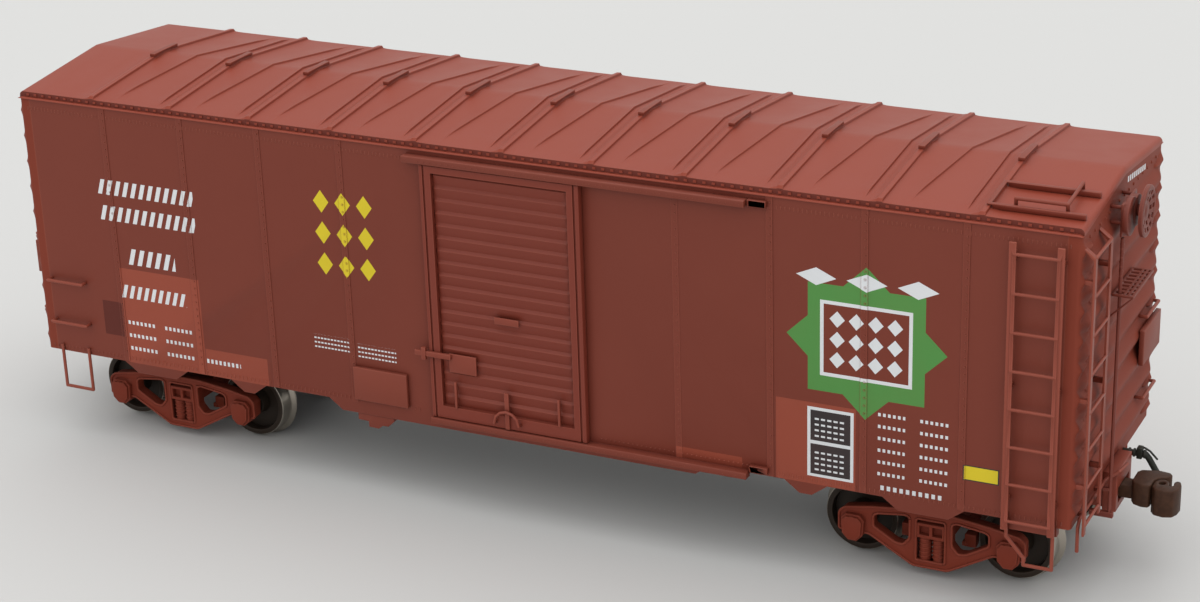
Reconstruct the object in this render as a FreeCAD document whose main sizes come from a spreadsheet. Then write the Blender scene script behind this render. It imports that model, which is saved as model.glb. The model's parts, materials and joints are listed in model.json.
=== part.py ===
"""Railroad boxcar, 1:87.1 scale model of a forty-foot steel car with sliding doors.

Frame: +X runs along the car to the end with the hand brake, +Z is up, and the
origin lies under the middle of the car on the surface its wheel flanges touch.
"front" is the brake end (+X), "rear" the plain end, "left" is +Y and "right" is -Y.
All lengths are millimetres. The car is the same from both ends, so most left and
rear pieces are the right and front ones turned half round the vertical axis.
"""
import FreeCAD, Part
import Sketcher
import math
import os
import re
from FreeCAD import Placement, Rotation, Vector

doc = FreeCAD.newDocument("Boxcar")

# ---------------------------------------------------------------- the sizes

SIZES = [
    # alias, value, what it measures
    ("body_half", 72.9, "middle of the car to the outside of an end sheet"),
    ("side_half", 17.4, "middle of the car to the outside of a side sheet"),
    ("side_high", 36.4, "height of the side sheets"),
    ("wall", 1.0, "thickness of the side walls"),
    ("end_thick", 1.6, "thickness of the end walls with their corner posts"),
    ("corner_round", 0.7, "radius of the upright corners of the body"),
    ("fit", 0.05, "gap round the underframe inside the walls"),
    ("tab_deep", 1.5, "depth of the tabs below the side sheets"),
    ("tab_slant", 2.0, "length of a tab's slanting end"),
    ("middle_tab", 25.4, "half length of the tab below the doorway"),
    ("roof_edge", 0.8, "height of the roof's upright edge"),
    ("roof_lip", 0.2, "how far the roof's edge stands out past the sides"),
    ("roof_over", 0.1, "how far the roof stands out past the ends"),
    ("roof_rise", 1.75, "ridge above the top of the roof's edge"),
    ("roof_thick", 0.9, "thickness of the roof"),
    ("end_panel", 11.65, "last seam cap to the end of the body"),
    ("seam_wide", 0.8, "width of a seam cap"),
    ("seam_high", 0.45, "height of a seam cap above the sheets"),
    ("saddle_half", 2.75, "half length of a running board saddle"),
    ("saddle_wide", 0.8, "width of a saddle"),
    ("saddle_thick", 0.15, "thickness of a saddle over the ridge"),
    ("rail_root", 0.2, "inner ends of the roof rails past the last seam's middle"),
    ("rail_end", 0.35, "outer ends of the roof rails to the end of the body"),
    ("rail_edge", 2.2, "outer roof rail to the side of the body"),
    ("rail_apart", 6.1, "outer roof rail to the inner one"),
    ("rail_wide", 0.5, "width of a roof rail"),
    ("rail_high", 0.67, "height of a roof rail"),
    ("rail_lift", 0.03, "play under the rails and grab iron of a roof corner"),
    ("roof_iron_high", 1.25, "height of a roof corner's grab iron"),
    ("roof_iron_long", 6.0, "length of a roof corner's grab iron"),
    ("rib_low", 3.61, "lowest rib of an end above the bottom of the sheets"),
    ("rib_drop", 3.75, "highest rib of an end below the top of the sides"),
    ("rib_radius", 1.1, "radius of a rib's crest"),
    ("rib_out", 0.65, "how far a rib stands out of the end sheet"),
    ("rib_edge", 0.5, "a rib's pointed end to the side of the body"),
    ("rib_taper", 1.8, "length of a rib's taper"),
    ("plate_thick", 0.65, "thickness of the underframe plate"),
    ("weight_thick", 0.9, "thickness of the steel weight"),
    ("weight_end", 11.3, "end of the steel weight to the end wall"),
    ("weight_edge", 3.4, "edge of the steel weight to the side wall"),
    ("floor_thick", 0.7, "thickness of the load floor"),
    ("center_half", 1.9, "half width of the centre sill"),
    ("center_deep", 2.75, "depth of the centre sill"),
    ("bolster_wing", 2.3, "half length of a body bolster along the car"),
    ("wing_edge", 0.4, "end of a body bolster to the side wall"),
    ("wing_end", 1.0, "depth of a body bolster at its ends"),
    ("center_plate", 0.55, "thickness of a body bolster's centre plate"),
    ("center_plate_radius", 3.0, "radius of that plate"),
    ("bearer_inner", 11.0, "middle of the car to an inner cross bearer"),
    ("bearer_outer", 28.0, "middle of the car to an outer cross bearer"),
    ("bearer_half", 0.6, "half thickness of a cross bearer"),
    ("doorway_half", 10.0, "half width of a doorway"),
    ("doorway_head", 1.75, "height of the side sheet above a doorway"),
    ("door_lap", 1.05, "how far a door covers the sheet beside its doorway"),
    ("door_gap", 0.15, "gap between a door and the side sheet"),
    ("door_sheet", 0.45, "thickness of a door's sheet"),
    ("door_frame", 0.95, "thickness of a door's frame"),
    ("door_frame_wide", 1.4, "width of a door's upright frame"),
    ("door_rail_low", 1.7, "width of a door's bottom rail"),
    ("door_rail_top", 0.55, "width of a door's top rail"),
    ("door_rib_high", 0.42, "height of a rib on a door"),
    ("door_rib_out", 0.33, "how far a door's rib stands out of its sheet"),
    ("door_run", 0.1, "running gap between a door and its tracks"),
    ("door_travel", 21.4, "how far a door slides"),
    ("track_drop", 0.35, "lower track's underside below the side sheet"),
    ("track_high", 0.85, "height of either track's section"),
    ("track_deep", 1.35, "how far the tracks stand out of the side"),
    ("track_head", 1.4, "upper track's underside below the top of the sides"),
    ("track_spare", 0.3, "track beyond an open door's edge"),
    ("track_tail", 2.3, "upper track beyond a closed door's other edge"),
    ("stop_long", 2.5, "length of the stop at a track's end"),
    ("stop_skin", 0.15, "wall round the hollow in a track's stop"),
    ("stop_lift", 0.8, "lower track's stop above its track"),
    ("lug_at", -20.45, "middle of the lug under the right sill"),
    ("stop_deep", 0.7, "how far a track's stop stands out of the side"),
    ("stile_wide", 0.85, "width of a ladder's stile"),
    ("stile_thick", 0.3, "thickness of a ladder's stile"),
    ("ladder_out", 1.05, "gap between a ladder's stiles and the side"),
    ("end_ladder_out", 1.2, "gap between a ladder's stiles and the end"),
    ("ladder_wide", 5.6, "spacing of a side ladder's stiles"),
    ("ladder_in", 4.8, "middle of a side ladder to the end of the body"),
    ("end_ladder_wide", 6.4, "spacing of an end ladder's stiles"),
    ("end_ladder_in", 4.0, "middle of an end ladder to the side of the body"),
    ("ladder_foot", 0.75, "ladder's foot below the side sheets"),
    ("side_ladder_head", 1.15, "side ladder's top below the top of the sides"),
    ("end_ladder_head", 2.55, "end ladder's top below the top of the sides"),
    ("rung_foot", 0.4, "lowest rung above the bottom of the sheets"),
    ("rung_head", 2.61, "highest rung below the top of the sides"),
    ("rung_radius", 0.2, "radius of a rung"),
    ("wire", 0.22, "radius of the bent wire pieces"),
    ("iron_out", 1.0, "how far a grab iron stands out"),
    ("iron_long", 5.6, "length of a grab iron"),
    ("iron_in", 2.0, "grab iron of the side to the end of the body"),
    ("end_iron_in", 1.6, "grab iron of the end to the side of the body"),
    ("step_foot", 6.9, "height of the wire steps"),
    ("truck_in", 18.4, "a truck's king pin to the end of the body"),
    ("axle_half", 9.9, "king pin to an axle, half the wheelbase"),
    ("tread_radius", 4.81, "radius of a wheel at its tread"),
    ("flange_high", 0.62, "height of a wheel's flange"),
    ("wheel_back", 7.2, "middle of the track to the back of a wheel"),
    ("wheel_wide", 2.75, "width of a wheel's rim"),
    ("rim_thick", 0.85, "thickness of a wheel's rim"),
    ("hub_radius", 1.55, "radius of a wheel's hub"),
    ("hub_out", 0.1, "how far the hub stands out of a wheel's faces"),
    ("axle_radius", 0.8, "radius of an axle in its wheels and bearings"),
    ("axle_body", 1.1, "radius of an axle between its wheels"),
    ("axle_reach", 12.3, "middle of the track to an axle's tip"),
    ("bearing_gap", 0.05, "running clearance of an axle in its bearing"),
    ("bearing_end", 0.1, "clearance past an axle's tip"),
    ("frame_in", 11.4, "middle of the track to a side frame's inner face"),
    ("frame_thick", 1.5, "thickness of a side frame"),
    ("box_in", 10.5, "middle of the track to a journal box's inner face"),
    ("box_out", 13.5, "middle of the track to a journal box's front"),
    ("lid_thick", 0.35, "thickness of a journal box's lid"),
    ("lid_share", 0.85, "size of a lid against the box behind it"),
    ("spring_radius", 0.72, "radius of a truck spring"),
    ("spring_at", 0.85, "truck springs from the middle of their frame"),
    ("spring_foot", 3.13, "foot of the springs below the axles"),
    ("bolster_end", 1.75, "half width of a truck bolster's end"),
    ("bolster_play", 0.12, "gap between a bolster's end and its side frame"),
    ("bolster_body", 2.4, "half width of a truck bolster's middle"),
    ("bolster_rise", 3.52, "top of a truck bolster above the axles"),
    ("pocket_wide", 1.25, "width of each pocket in a truck bolster's ends"),
    ("pocket_deep", 0.7, "depth of those pockets"),
    ("pocket_edge", 0.4, "wall round and between those pockets"),
    ("bolster_crown", 1.55, "height of the raised middle of a truck bolster"),
    ("bolster_end_high", 2.0, "height of a truck bolster's ends"),
    ("crown_half", 7.0, "half length of the raised middle of a truck bolster"),
    ("pivot_gap", 0.1, "gap between a truck and the bolster above it"),
    ("pin_radius", 1.15, "radius of a king pin"),
    ("pin_gap", 0.08, "running clearance round a king pin"),
    ("pin_head", 1.8, "radius of a king pin's head"),
    ("pin_head_high", 0.8, "height of a king pin's head"),
    ("shoe_gap", 0.35, "gap between a brake head and its wheel"),
    ("shoe_deep", 1.44, "depth of a brake head along the car"),
    ("beam_thick", 0.6, "thickness of a brake beam"),
    ("shank_half_wide", 1.15, "half width of a coupler's shank"),
    ("shank_half_high", 0.85, "half height of a coupler's shank"),
    ("shank_gap", 0.2, "gap above and below a shank in its box"),
    ("shank_long", 7.3, "post to the root of a coupler's head"),
    ("coupler_drop", 2.05, "middle of a coupler's shank below the side sheets"),
    ("knuckle_bore", 0.4, "radius of the pin's bore in a knuckle"),
    ("collar_radius", 0.55, "radius of the collars on an air line's pipe"),
    ("post_in", 4.3, "post a coupler turns on to the end of the body"),
    ("post_radius", 0.9, "radius of that post"),
    ("post_gap", 0.08, "running clearance of a coupler on its post"),
    ("eye_radius", 1.9, "radius of a coupler's eye round the post"),
    ("box_half", 3.1, "half width of a coupler's box"),
    ("box_wall", 0.6, "thickness of a coupler's box at its sides and back"),
    ("box_floor", 0.5, "thickness of a coupler's box below"),
    ("eye_gap", 0.3, "gap behind a coupler's eye in its box"),
    ("striker_out", 1.7, "how far a striker stands out of the end"),
    ("striker_rim", 0.3, "how far a striker reaches past its box"),
    ("striker_up", 1.3, "how far a striker reaches above the sheets' bottom"),
    ("brake_wheel_radius", 3.1, "radius of the brake wheel"),
    ("brake_wheel_out", 3.3, "brake wheel's plane from the end sheet"),
    ("brake_wheel_y", -2.3, "brake wheel's place across the car"),
    ("brake_wheel_drop", 1.65, "brake wheel's centre below the top of the sides"),
    ("winch_out", 1.3, "back plate of the hand brake from the end sheet"),
    ("winch_plate", 0.3, "thickness of that plate"),
    ("winch_past", 0.7, "edge of that plate past the brake rod"),
    ("winch_radius", 1.9, "radius of the hand brake's drum"),
    ("gear_radius", 2.3, "radius of the hand brake's gear case"),
    ("gear_thick", 0.65, "thickness of the gear case"),
    ("gear_in", 1.1, "gear case's middle from the brake rod, towards the wheel"),
    ("rod_clear", 2.3, "brake rod to the striker beside it"),
    ("rod_out", 1.5, "brake rod's centre from the end sheet"),
    ("step_drop", 10.75, "brakeman's step below the top of the sides"),
    ("step_wide", 9.2, "length of the brakeman's step across the car"),
    ("step_deep", 2.6, "depth of the brakeman's step"),
    ("step_bar", 0.28, "width and thickness of the step's bars"),
    ("board_thick", 0.65, "thickness of the placard boards"),
    ("board_wide", 8.0, "length of a placard board"),
    ("board_high", 4.65, "height of a placard board"),
    ("board_low", 0.75, "side board above the bottom of the sheets"),
    ("end_board_low", 10.65, "end board above the bottom of the sheets"),
    ("board_from_door", 3.95, "side board to the edge of the closed door"),
    ("board_edge", 1.4, "end board to the side of the body"),
]

DERIVED = [
    # alias, formula of driving sizes, what it is
    ("axle_high", "tread_radius + flange_high", "height of the axles"),
    ("bolster_top", "axle_high + bolster_rise", "top of a truck bolster"),
    ("bolster_high", "bolster_top - bolster_crown", "top of a truck bolster's ends"),
    ("bolster_low", "bolster_high - bolster_end_high", "underside of a truck bolster"),
    ("pivot_high", "bolster_top + pivot_gap", "underside of a body bolster's centre plate"),
    ("center_low", "pivot_high + center_plate", "underside of the centre sill"),
    ("sill_low", "center_low + center_deep", "underside of the side sheets"),
    ("wall_top", "sill_low + side_high", "top of the side walls"),
    ("inside_long", "body_half - end_thick", "middle of the car to an end wall's inside"),
    ("inside_wide", "side_half - wall", "middle of the car to a side wall's inside"),
    ("plate_top", "sill_low + plate_thick", "top of the underframe plate"),
    ("weight_top", "plate_top + weight_thick", "top of the steel weight"),
    ("deck", "weight_top + floor_thick", "top of the load floor"),
    ("eave", "wall_top + roof_edge", "top of the roof's edge"),
    ("ridge", "eave + roof_rise", "top of the roof's ridge"),
    ("ridge_under", "ridge - roof_thick", "underside of the roof's ridge"),
    ("roof_half", "side_half + roof_lip", "half width of the roof"),
    ("slope", "roof_rise / roof_half", "fall of the roof for each millimetre across"),
    ("seam_pitch", "(body_half - end_panel) / 5", "spacing of the roof's seam caps"),
    ("seam_top", "ridge + seam_high", "top of the seam caps at the ridge"),
    ("rib_first", "sill_low + rib_low", "height of an end's lowest rib"),
    ("rib_last", "wall_top - rib_drop", "height of an end's highest rib"),
    ("rib_pitch", "(rib_last - rib_first) / 8", "spacing of the nine ribs"),
    ("rib_face", "body_half + rib_out", "crest of the ribs of an end"),
    ("truck_at", "body_half - truck_in", "middle of the car to a king pin"),
    ("post_at", "body_half - post_in", "middle of the car to a coupler's post"),
    ("head_at", "post_at + shank_long", "middle of the car to a coupler head's root"),
    ("coupler_mid", "sill_low - coupler_drop", "height of the middle of a coupler"),
    ("cavity_low", "coupler_mid - shank_half_high - shank_gap", "floor of a coupler's box"),
    ("cavity_high", "coupler_mid + shank_half_high + shank_gap", "ceiling of that box"),
    ("doorway_high", "wall_top - doorway_head", "top of a doorway"),
    ("door_half", "doorway_half + door_lap", "half width of a door"),
    ("door_back", "side_half + door_gap", "inner face of a door"),
    ("door_face", "door_back + door_sheet", "outer face of a door's sheet"),
    ("door_front", "door_back + door_frame", "outer face of a door's frame"),
    ("track_low", "sill_low - track_drop", "underside of the lower track"),
    ("track_top", "wall_top - track_head", "underside of the upper track"),
    ("door_low", "track_low + track_high + door_run", "bottom of a door"),
    ("door_high", "track_top - door_run", "top of a door"),
    ("track_end", "door_half + door_travel + track_spare", "far end of the tracks"),
    ("ladder_at", "body_half - ladder_in", "middle of the car to a side ladder"),
    ("end_ladder_at", "side_half - end_ladder_in", "middle of the car to an end ladder"),
    ("ladder_low", "sill_low - ladder_foot", "foot of the ladders"),
    ("ladder_back", "side_half + ladder_out", "back of a side ladder's stiles"),
    ("ladder_front", "ladder_back + stile_thick", "front of a side ladder's stiles"),
    ("end_ladder_back", "body_half + end_ladder_out", "back of an end ladder's stiles"),
    ("end_ladder_front", "end_ladder_back + stile_thick", "front of those stiles"),
    ("side_ladder_top", "wall_top - side_ladder_head", "top of a side ladder"),
    ("end_ladder_top", "wall_top - end_ladder_head", "top of an end ladder"),
    ("rung_low", "sill_low + rung_foot", "height of the lowest rung"),
    ("rung_pitch", "(wall_top - rung_head - rung_low) / 7", "spacing of the eight rungs"),
    ("frame_out", "frame_in + frame_thick", "middle of the track to a side frame's face"),
    ("bearing_radius", "axle_radius + bearing_gap", "radius of an axle's bearing"),
    ("pin_bore", "pin_radius + pin_gap", "radius of a truck bolster's bore"),
    ("shoe_face", "axle_half - tread_radius - shoe_gap", "king pin to a brake head's face"),
    ("beam_at", "shoe_face - shoe_deep", "king pin to the middle of a brake beam"),
    ("brake_wheel_z", "wall_top - brake_wheel_drop", "height of the brake wheel's centre"),
    ("rod_y", "-(box_half + striker_rim + rod_clear)", "brake rod's place across the car"),
    ("winch_left", "rod_y - winch_past", "hand brake plate's edge across the car"),
    ("step_high", "wall_top - step_drop", "height of the brakeman's step"),
]


def name_cells(title, rows):
    """Put the rows in a spreadsheet, one aliased cell each."""
    sheet = doc.addObject("Spreadsheet::Sheet", title)
    for number, (alias, value, meaning) in enumerate(rows, start=1):
        cell = f"B{number}"
        sheet.set(f"A{number}", meaning)
        sheet.set(cell, f"={value}" if isinstance(value, str) else str(value))
        sheet.setAlias(cell, alias)
    doc.recompute()
    return sheet


def bound(formula):
    """The formula with each alias written as its sheet and alias."""
    def full(match):
        word = match.group()
        return f"{home[word].Name}.{word}" if word in home else word
    return re.sub(r"[a-z_]+", full, formula)


sizes = name_cells("Sizes", SIZES)
home = {alias: sizes for alias, value, meaning in SIZES}
derived = name_cells("Derived", [(alias, bound(formula), meaning) for alias, formula, meaning in DERIVED])
home.update({alias: derived for alias, formula, meaning in DERIVED})


def size(alias):
    """The value of one aliased cell."""
    return float(home[alias].get(alias))


# ------------------------------------------------------- how pieces are made

HALF_TURN = Rotation(Vector(0, 0, 1), 180)
ALONG = {"x": Rotation(Vector(0, 1, 0), 90), "y": Rotation(Vector(1, 0, 0), -90), "z": Rotation()}
ACROSS = {"x": "yz", "y": "xz", "z": "xy"}
scratch = doc.addObject("Spreadsheet::Sheet", "Working")
nodes = []


def worked(formula):
    """The number that a formula of aliases comes to."""
    scratch.set("A1", "=" + bound(formula))
    scratch.recompute()
    return float(scratch.get("A1"))


def block(x, y, z):
    """A box from three (low, high) pairs of formulas."""
    box = doc.addObject("Part::Box", "block")
    for length, axis, (low, high) in zip(("Length", "Width", "Height"), "xyz", (x, y, z)):
        box.setExpression(length, bound(f"({high}) - ({low})"))
        box.setExpression(f"Placement.Base.{axis}", bound(low))
    return box


def rod(along, low, high, centre, radius):
    """A cylinder along one axis; centre gives its place on the two other axes."""
    pin = doc.addObject("Part::Cylinder", "rod")
    pin.Placement = Placement(Vector(), ALONG[along])
    pin.setExpression("Radius", bound(radius))
    pin.setExpression("Height", bound(f"({high}) - ({low})"))
    pin.setExpression(f"Placement.Base.{along}", bound(low))
    for axis, place in zip(ACROSS[along], centre):
        pin.setExpression(f"Placement.Base.{axis}", bound(place))
    return pin


def draw(body, plane, loops, offset="0", shift=("0", "0")):
    """A sketch of closed outlines, each corner held by two bound constraints."""
    sketch = body.newObject("Sketcher::SketchObject", "outline")
    planes = [item for item in body.Origin.OriginFeatures if item.Role == plane]
    sketch.AttachmentSupport = (planes[0], "")
    sketch.MapMode = "FlatFace"
    for axis, formula in zip("xyz", (*shift, offset)):
        sketch.setExpression(f"AttachmentOffset.Base.{axis}", bound(formula))
    first = 0
    for loop in loops:
        spots = [Vector(worked(across), worked(up), 0) for across, up in loop]
        count = len(spots)
        for number, spot in enumerate(spots):
            sketch.addGeometry(Part.LineSegment(spot, spots[(number + 1) % count]), False)
        for number, (across, up) in enumerate(loop):
            line = first + number
            after = first + (number + 1) % count
            sketch.addConstraint(Sketcher.Constraint("Coincident", line, 2, after, 1))
            for kind, value, formula in (("DistanceX", spots[number].x, across),
                                         ("DistanceY", spots[number].y, up)):
                held = sketch.addConstraint(Sketcher.Constraint(kind, -1, 1, line, 1, value))
                sketch.setExpression(f"Constraints[{held}]", bound(formula))
        first += count
    return sketch


def body_named(name):
    return doc.addObject("PartDesign::Body", name)


def pad(body, plane, loops, low, high):
    """Extrude outlines between two places on the axis square to the plane."""
    # the XZ plane's sketches face -Y, so their offset runs the other way
    offset = f"-({high})" if plane == "XZ_Plane" else low
    feature = body.newObject("PartDesign::Pad", "pad")
    feature.Profile = draw(body, plane, loops, offset)
    feature.setExpression("Length", bound(f"({high}) - ({low})"))
    return feature


def turned(body, plane, loops, axis, offset="0", shift=("0", "0")):
    """Revolve outlines about the sketch's own H_Axis or V_Axis."""
    sketch = draw(body, plane, loops, offset, shift)
    feature = body.newObject("PartDesign::Revolution", "turned")
    feature.Profile = sketch
    feature.ReferenceAxis = (sketch, [axis])
    feature.Angle = 360
    return feature


def row_of(body, feature, axis, count, length):
    """Repeat a feature along one of the body's own axes."""
    lines = [item for item in body.Origin.OriginFeatures if item.Role == axis]
    pattern = body.newObject("PartDesign::LinearPattern", "row")
    pattern.Originals = [feature]
    pattern.Direction = (lines[0], [""])
    pattern.Occurrences = count
    pattern.setExpression("Length", bound(length))
    body.Tip = pattern
    return pattern


def fused(pieces):
    joined = doc.addObject("Part::MultiFuse", "joined")
    joined.Shapes = pieces
    return joined


def less(base, tool):
    cut = doc.addObject("Part::Cut", "cut")
    cut.Base = base
    cut.Tool = tool
    return cut


def bent_wire(points, radius):
    """Round wire through points given as formulas, with a ball at each bend."""
    spots = [Vector(*(worked(str(place)) for place in point)) for point in points]
    solid = None
    for start, end in zip(spots, spots[1:]):
        run = Part.makeCylinder(radius, (end - start).Length, start, end - start)
        solid = run if solid is None else solid.fuse(run)
    for spot in spots[1:-1]:
        solid = solid.fuse(Part.makeSphere(radius, spot))
    return solid.removeSplitter()


def shaped(shape):
    """A feature whose shape is worked out from the cells by this script."""
    feature = doc.addObject("Part::Feature", "shaped")
    feature.Shape = shape
    return feature


def grouped(pieces, place=Placement()):
    """Pieces kept as separate solids and moved together."""
    group = doc.addObject("Part::Compound", "group")
    group.Links = pieces
    group.Placement = place
    return group


def node(name, pieces, place=Placement()):
    """One named sub-part: its solids as they stand, moved to their place."""
    group = grouped(pieces, place)
    group.Label = name
    nodes.append(group)


def half_turned():
    return Placement(Vector(), HALF_TURN)


def twice(make):
    """The pieces that make returns, and a second set turned half round the middle."""
    return make() + [grouped(make(), half_turned())]


def rectangle(x, y):
    (left, right), (low, high) = x, y
    return [(left, low), (right, low), (right, high), (left, high)]


# ------------------------------------------------------------ body and roof

def side_wall():
    """A side sheet with its sill's tabs and its doorway, on the -Y side."""
    # tabs below the sill: the ends of each tab's flat bottom
    tabs = [("-truck_at - 3.6", "-truck_at + 2.7"), ("-truck_at + 13.7", "-truck_at + 15.3"),
            ("-middle_tab", "middle_tab"),
            ("truck_at - 15.3", "truck_at - 13.7"), ("truck_at - 2.7", "truck_at + 3.6")]
    edge = [("-inside_long", "sill_low")]
    for left, right in tabs:
        edge += [(f"{left} - tab_slant", "sill_low"), (left, "sill_low - tab_deep"),
                 (right, "sill_low - tab_deep"), (f"{right} + tab_slant", "sill_low")]
    foot_in = "ladder_at - ladder_wide / 2 - stile_wide / 2"
    edge += [(foot_in, "sill_low"), (foot_in, "ladder_low - stile_wide / 2"),
             ("inside_long", "ladder_low - stile_wide / 2"),
             ("inside_long", "wall_top"), ("-inside_long", "wall_top")]
    doorway = rectangle(("-doorway_half", "doorway_half"), ("deck", "doorway_high"))
    body = body_named("side_sheet")
    pad(body, "XZ_Plane", [edge, doorway], "-side_half", "-inside_wide")
    return body


node("side_wall_right", [side_wall()])
node("side_wall_left", [side_wall()], half_turned())


def end_wall():
    """An end sheet with its gable, rounded corners and pressed ribs, at +X."""
    body = body_named("end_sheet")
    sheet = [("-side_half", "sill_low"), ("side_half", "sill_low"), ("side_half", "wall_top"),
             ("inside_wide", "wall_top"), ("0", "ridge_under"),
             ("-inside_wide", "wall_top"), ("-side_half", "wall_top")]
    plate = pad(body, "YZ_Plane", [sheet], "inside_long", "body_half")
    doc.recompute()
    corners = []
    for number, edge in enumerate(plate.Shape.Edges, start=1):
        low, high = edge.Vertexes[0].Point, edge.Vertexes[-1].Point
        upright = abs(low.z - high.z) > size("side_high") / 2
        if upright and low.x > size("inside_long") + size("end_thick") / 2:
            corners.append(f"Edge{number}")
    rounded = body.newObject("PartDesign::Fillet", "rounded")
    rounded.Base = (plate, corners)
    rounded.setExpression("Radius", bound("corner_round"))
    tip = "side_half - rib_edge"
    rib = [("0", f"-({tip})"), ("rib_radius", f"-({tip}) + rib_taper"),
           ("rib_radius", f"{tip} - rib_taper"), ("0", tip)]
    pressed = turned(body, "XY_Plane", [rib], "V_Axis", "rib_first",
                     ("body_half + rib_out - rib_radius", "0"))
    row_of(body, pressed, "Z_Axis", 9, "8 * rib_pitch")
    return body


node("end_wall_front", [end_wall()])
node("end_wall_rear", [end_wall()], half_turned())


def roof():
    """A shallow gabled sheet with a cap over each of its eleven seams."""
    body = body_named("roof_sheet")
    section = [("-roof_half", "wall_top"), ("-inside_wide", "wall_top"), ("0", "ridge_under"),
               ("inside_wide", "wall_top"), ("roof_half", "wall_top"), ("roof_half", "eave"),
               ("0", "ridge"), ("-roof_half", "eave")]
    pad(body, "YZ_Plane", [section], "-body_half - roof_over", "body_half + roof_over")
    # a cap follows the roof's slope and reaches a little into the sheet below it
    cap = [("-side_half", "eave"), ("0", "ridge - seam_high / 2"), ("side_half", "eave"),
           ("side_half", "eave + seam_high"), ("0", "seam_top"), ("-side_half", "eave + seam_high")]
    first = pad(body, "YZ_Plane", [cap], "-5 * seam_pitch - seam_wide / 2",
                "-5 * seam_pitch + seam_wide / 2")
    row_of(body, first, "X_Axis", 11, "10 * seam_pitch")
    return body


node("roof", [roof()])


def saddle(number):
    """A block level on top that once carried a running board, on one seam's cap."""
    body = body_named("saddle")
    seat = "seam_top - roof_rise * saddle_half / side_half"
    section = [("-saddle_half", seat), ("0", "seam_top"), ("saddle_half", seat),
               ("saddle_half", "seam_top + saddle_thick"), ("-saddle_half", "seam_top + saddle_thick")]
    pad(body, "YZ_Plane", [section], f"{number} * seam_pitch - saddle_wide / 2",
        f"{number} * seam_pitch + saddle_wide / 2")
    return body


node("running_board_saddles", [saddle(number) for number in range(-5, 6)])


def roof_corner():
    """Two rails, a cross rail and a bent grab iron on the +X, -Y corner of the roof."""
    # drawn flat, with y measured down the slope from the ridge
    outer = ("-side_half + rail_edge", "-side_half + rail_edge + rail_wide")
    inner = ("-side_half + rail_edge + rail_apart", "-side_half + rail_edge + rail_apart + rail_wide")
    # the rails' inner ends and the cross rail lie over the last seam's cap
    root, past_cap = "5 * seam_pitch - rail_root", "5 * seam_pitch + seam_wide / 2 + fit"
    tall = ("rail_lift", "rail_lift + rail_high")
    over_cap = ("rail_lift + seam_high", tall[1])
    rails = [block((root, f"{root} + rail_wide"), (outer[0], inner[1]), over_cap)]
    for rail in (outer, inner):
        rails.append(block((root, "body_half - rail_end"), rail, over_cap))
        rails.append(block((past_cap, "body_half - rail_end"), rail, tall))
    end = "body_half - rail_edge - rail_wide"
    near, far = f"{outer[1]} + rail_wide", f"{inner[1]} + rail_wide"
    grab = bent_wire([(f"{end} - roof_iron_long", near, "rail_lift"),
                      (f"{end} - roof_iron_long", near, "roof_iron_high"),
                      (end, near, "roof_iron_high"), (end, far, "roof_iron_high"),
                      (end, far, "rail_lift")], size("wire"))
    foot = bent_wire([(end, near, "rail_lift"), (end, near, "roof_iron_high")], size("wire"))
    tilt = Rotation(Vector(1, 0, 0), math.degrees(math.atan(size("slope"))))
    on_slope = Placement(Vector(0, 0, size("ridge")), tilt)
    return [grouped([fused(rails), shaped(grab.fuse(foot).removeSplitter())], on_slope)]


node("roof_corner_rails", roof_corner())


# --------------------------------------------------------------- underframe

node("underframe_plate", [block(("-inside_long + fit", "inside_long - fit"),
                                ("-inside_wide + fit", "inside_wide - fit"),
                                ("sill_low", "plate_top"))])
node("weight", [block(("-inside_long + weight_end", "inside_long - weight_end"),
                      ("-inside_wide + weight_edge", "inside_wide - weight_edge"),
                      ("plate_top", "weight_top"))])
node("floor", [block(("-inside_long + fit", "inside_long - fit"),
                     ("-inside_wide + fit", "inside_wide - fit"),
                     ("weight_top", "deck"))])
box_back = "post_at - eye_radius - eye_gap - box_wall"
node("center_sill", [block((f"-({box_back})", box_back), ("-center_half", "center_half"),
                           ("center_low", "sill_low"))])


def tapered(middle, half_thick, reach, deep_out, deep_in):
    """Two wings across the car that grow deeper from their ends to the centre sill."""
    wings = []
    for hand in (-1, 1):
        wing = [(f"{hand} * center_half", "sill_low"), (f"{hand} * ({reach})", "sill_low"),
                (f"{hand} * ({reach})", f"sill_low - {deep_out}"),
                (f"{hand} * center_plate_radius", f"sill_low - {deep_in}"),
                (f"{hand} * center_half", f"sill_low - {deep_in}")]
        body = body_named("wing")
        pad(body, "YZ_Plane", [wing], f"{middle} - {half_thick}", f"{middle} + {half_thick}")
        wings.append(body)
    return wings


def body_bolster(side):
    """Two tapered wings and the centre plate between them, over one truck."""
    middle = f"{side} * truck_at"
    wings = tapered(middle, "bolster_wing", "inside_wide - wing_edge", "wing_end", "center_deep")
    plate = rod("z", "pivot_high", "center_low", (middle, "0"), "center_plate_radius")
    return fused(wings + [plate])


def cross_bearers():
    """Thinner tapered members between the two body bolsters."""
    wings = []
    for place in ("-bearer_outer", "-bearer_inner", "bearer_inner", "bearer_outer"):
        wings += tapered(place, "bearer_half", "inside_wide - wing_edge / 2", "bearer_half",
                         "(center_deep - bearer_half / 2)")
    return wings


node("body_bolsters", [body_bolster(1), body_bolster(-1)])
node("cross_bearers", cross_bearers())


def hung_tank(start, long, across, drop, radius):
    """A round tank under the floor with one hanger block up to the plate."""
    middle = f"({start}) + ({long}) / 2"
    return [rod("x", start, f"({start}) + ({long})", (across, f"sill_low - {drop}"), radius),
            block((f"{middle} - ({long}) / 4", f"{middle} + ({long}) / 4"),
                  (f"{across} - {radius} / 2", f"{across} + {radius} / 2"),
                  (f"sill_low - {drop}", "sill_low"))]


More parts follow.
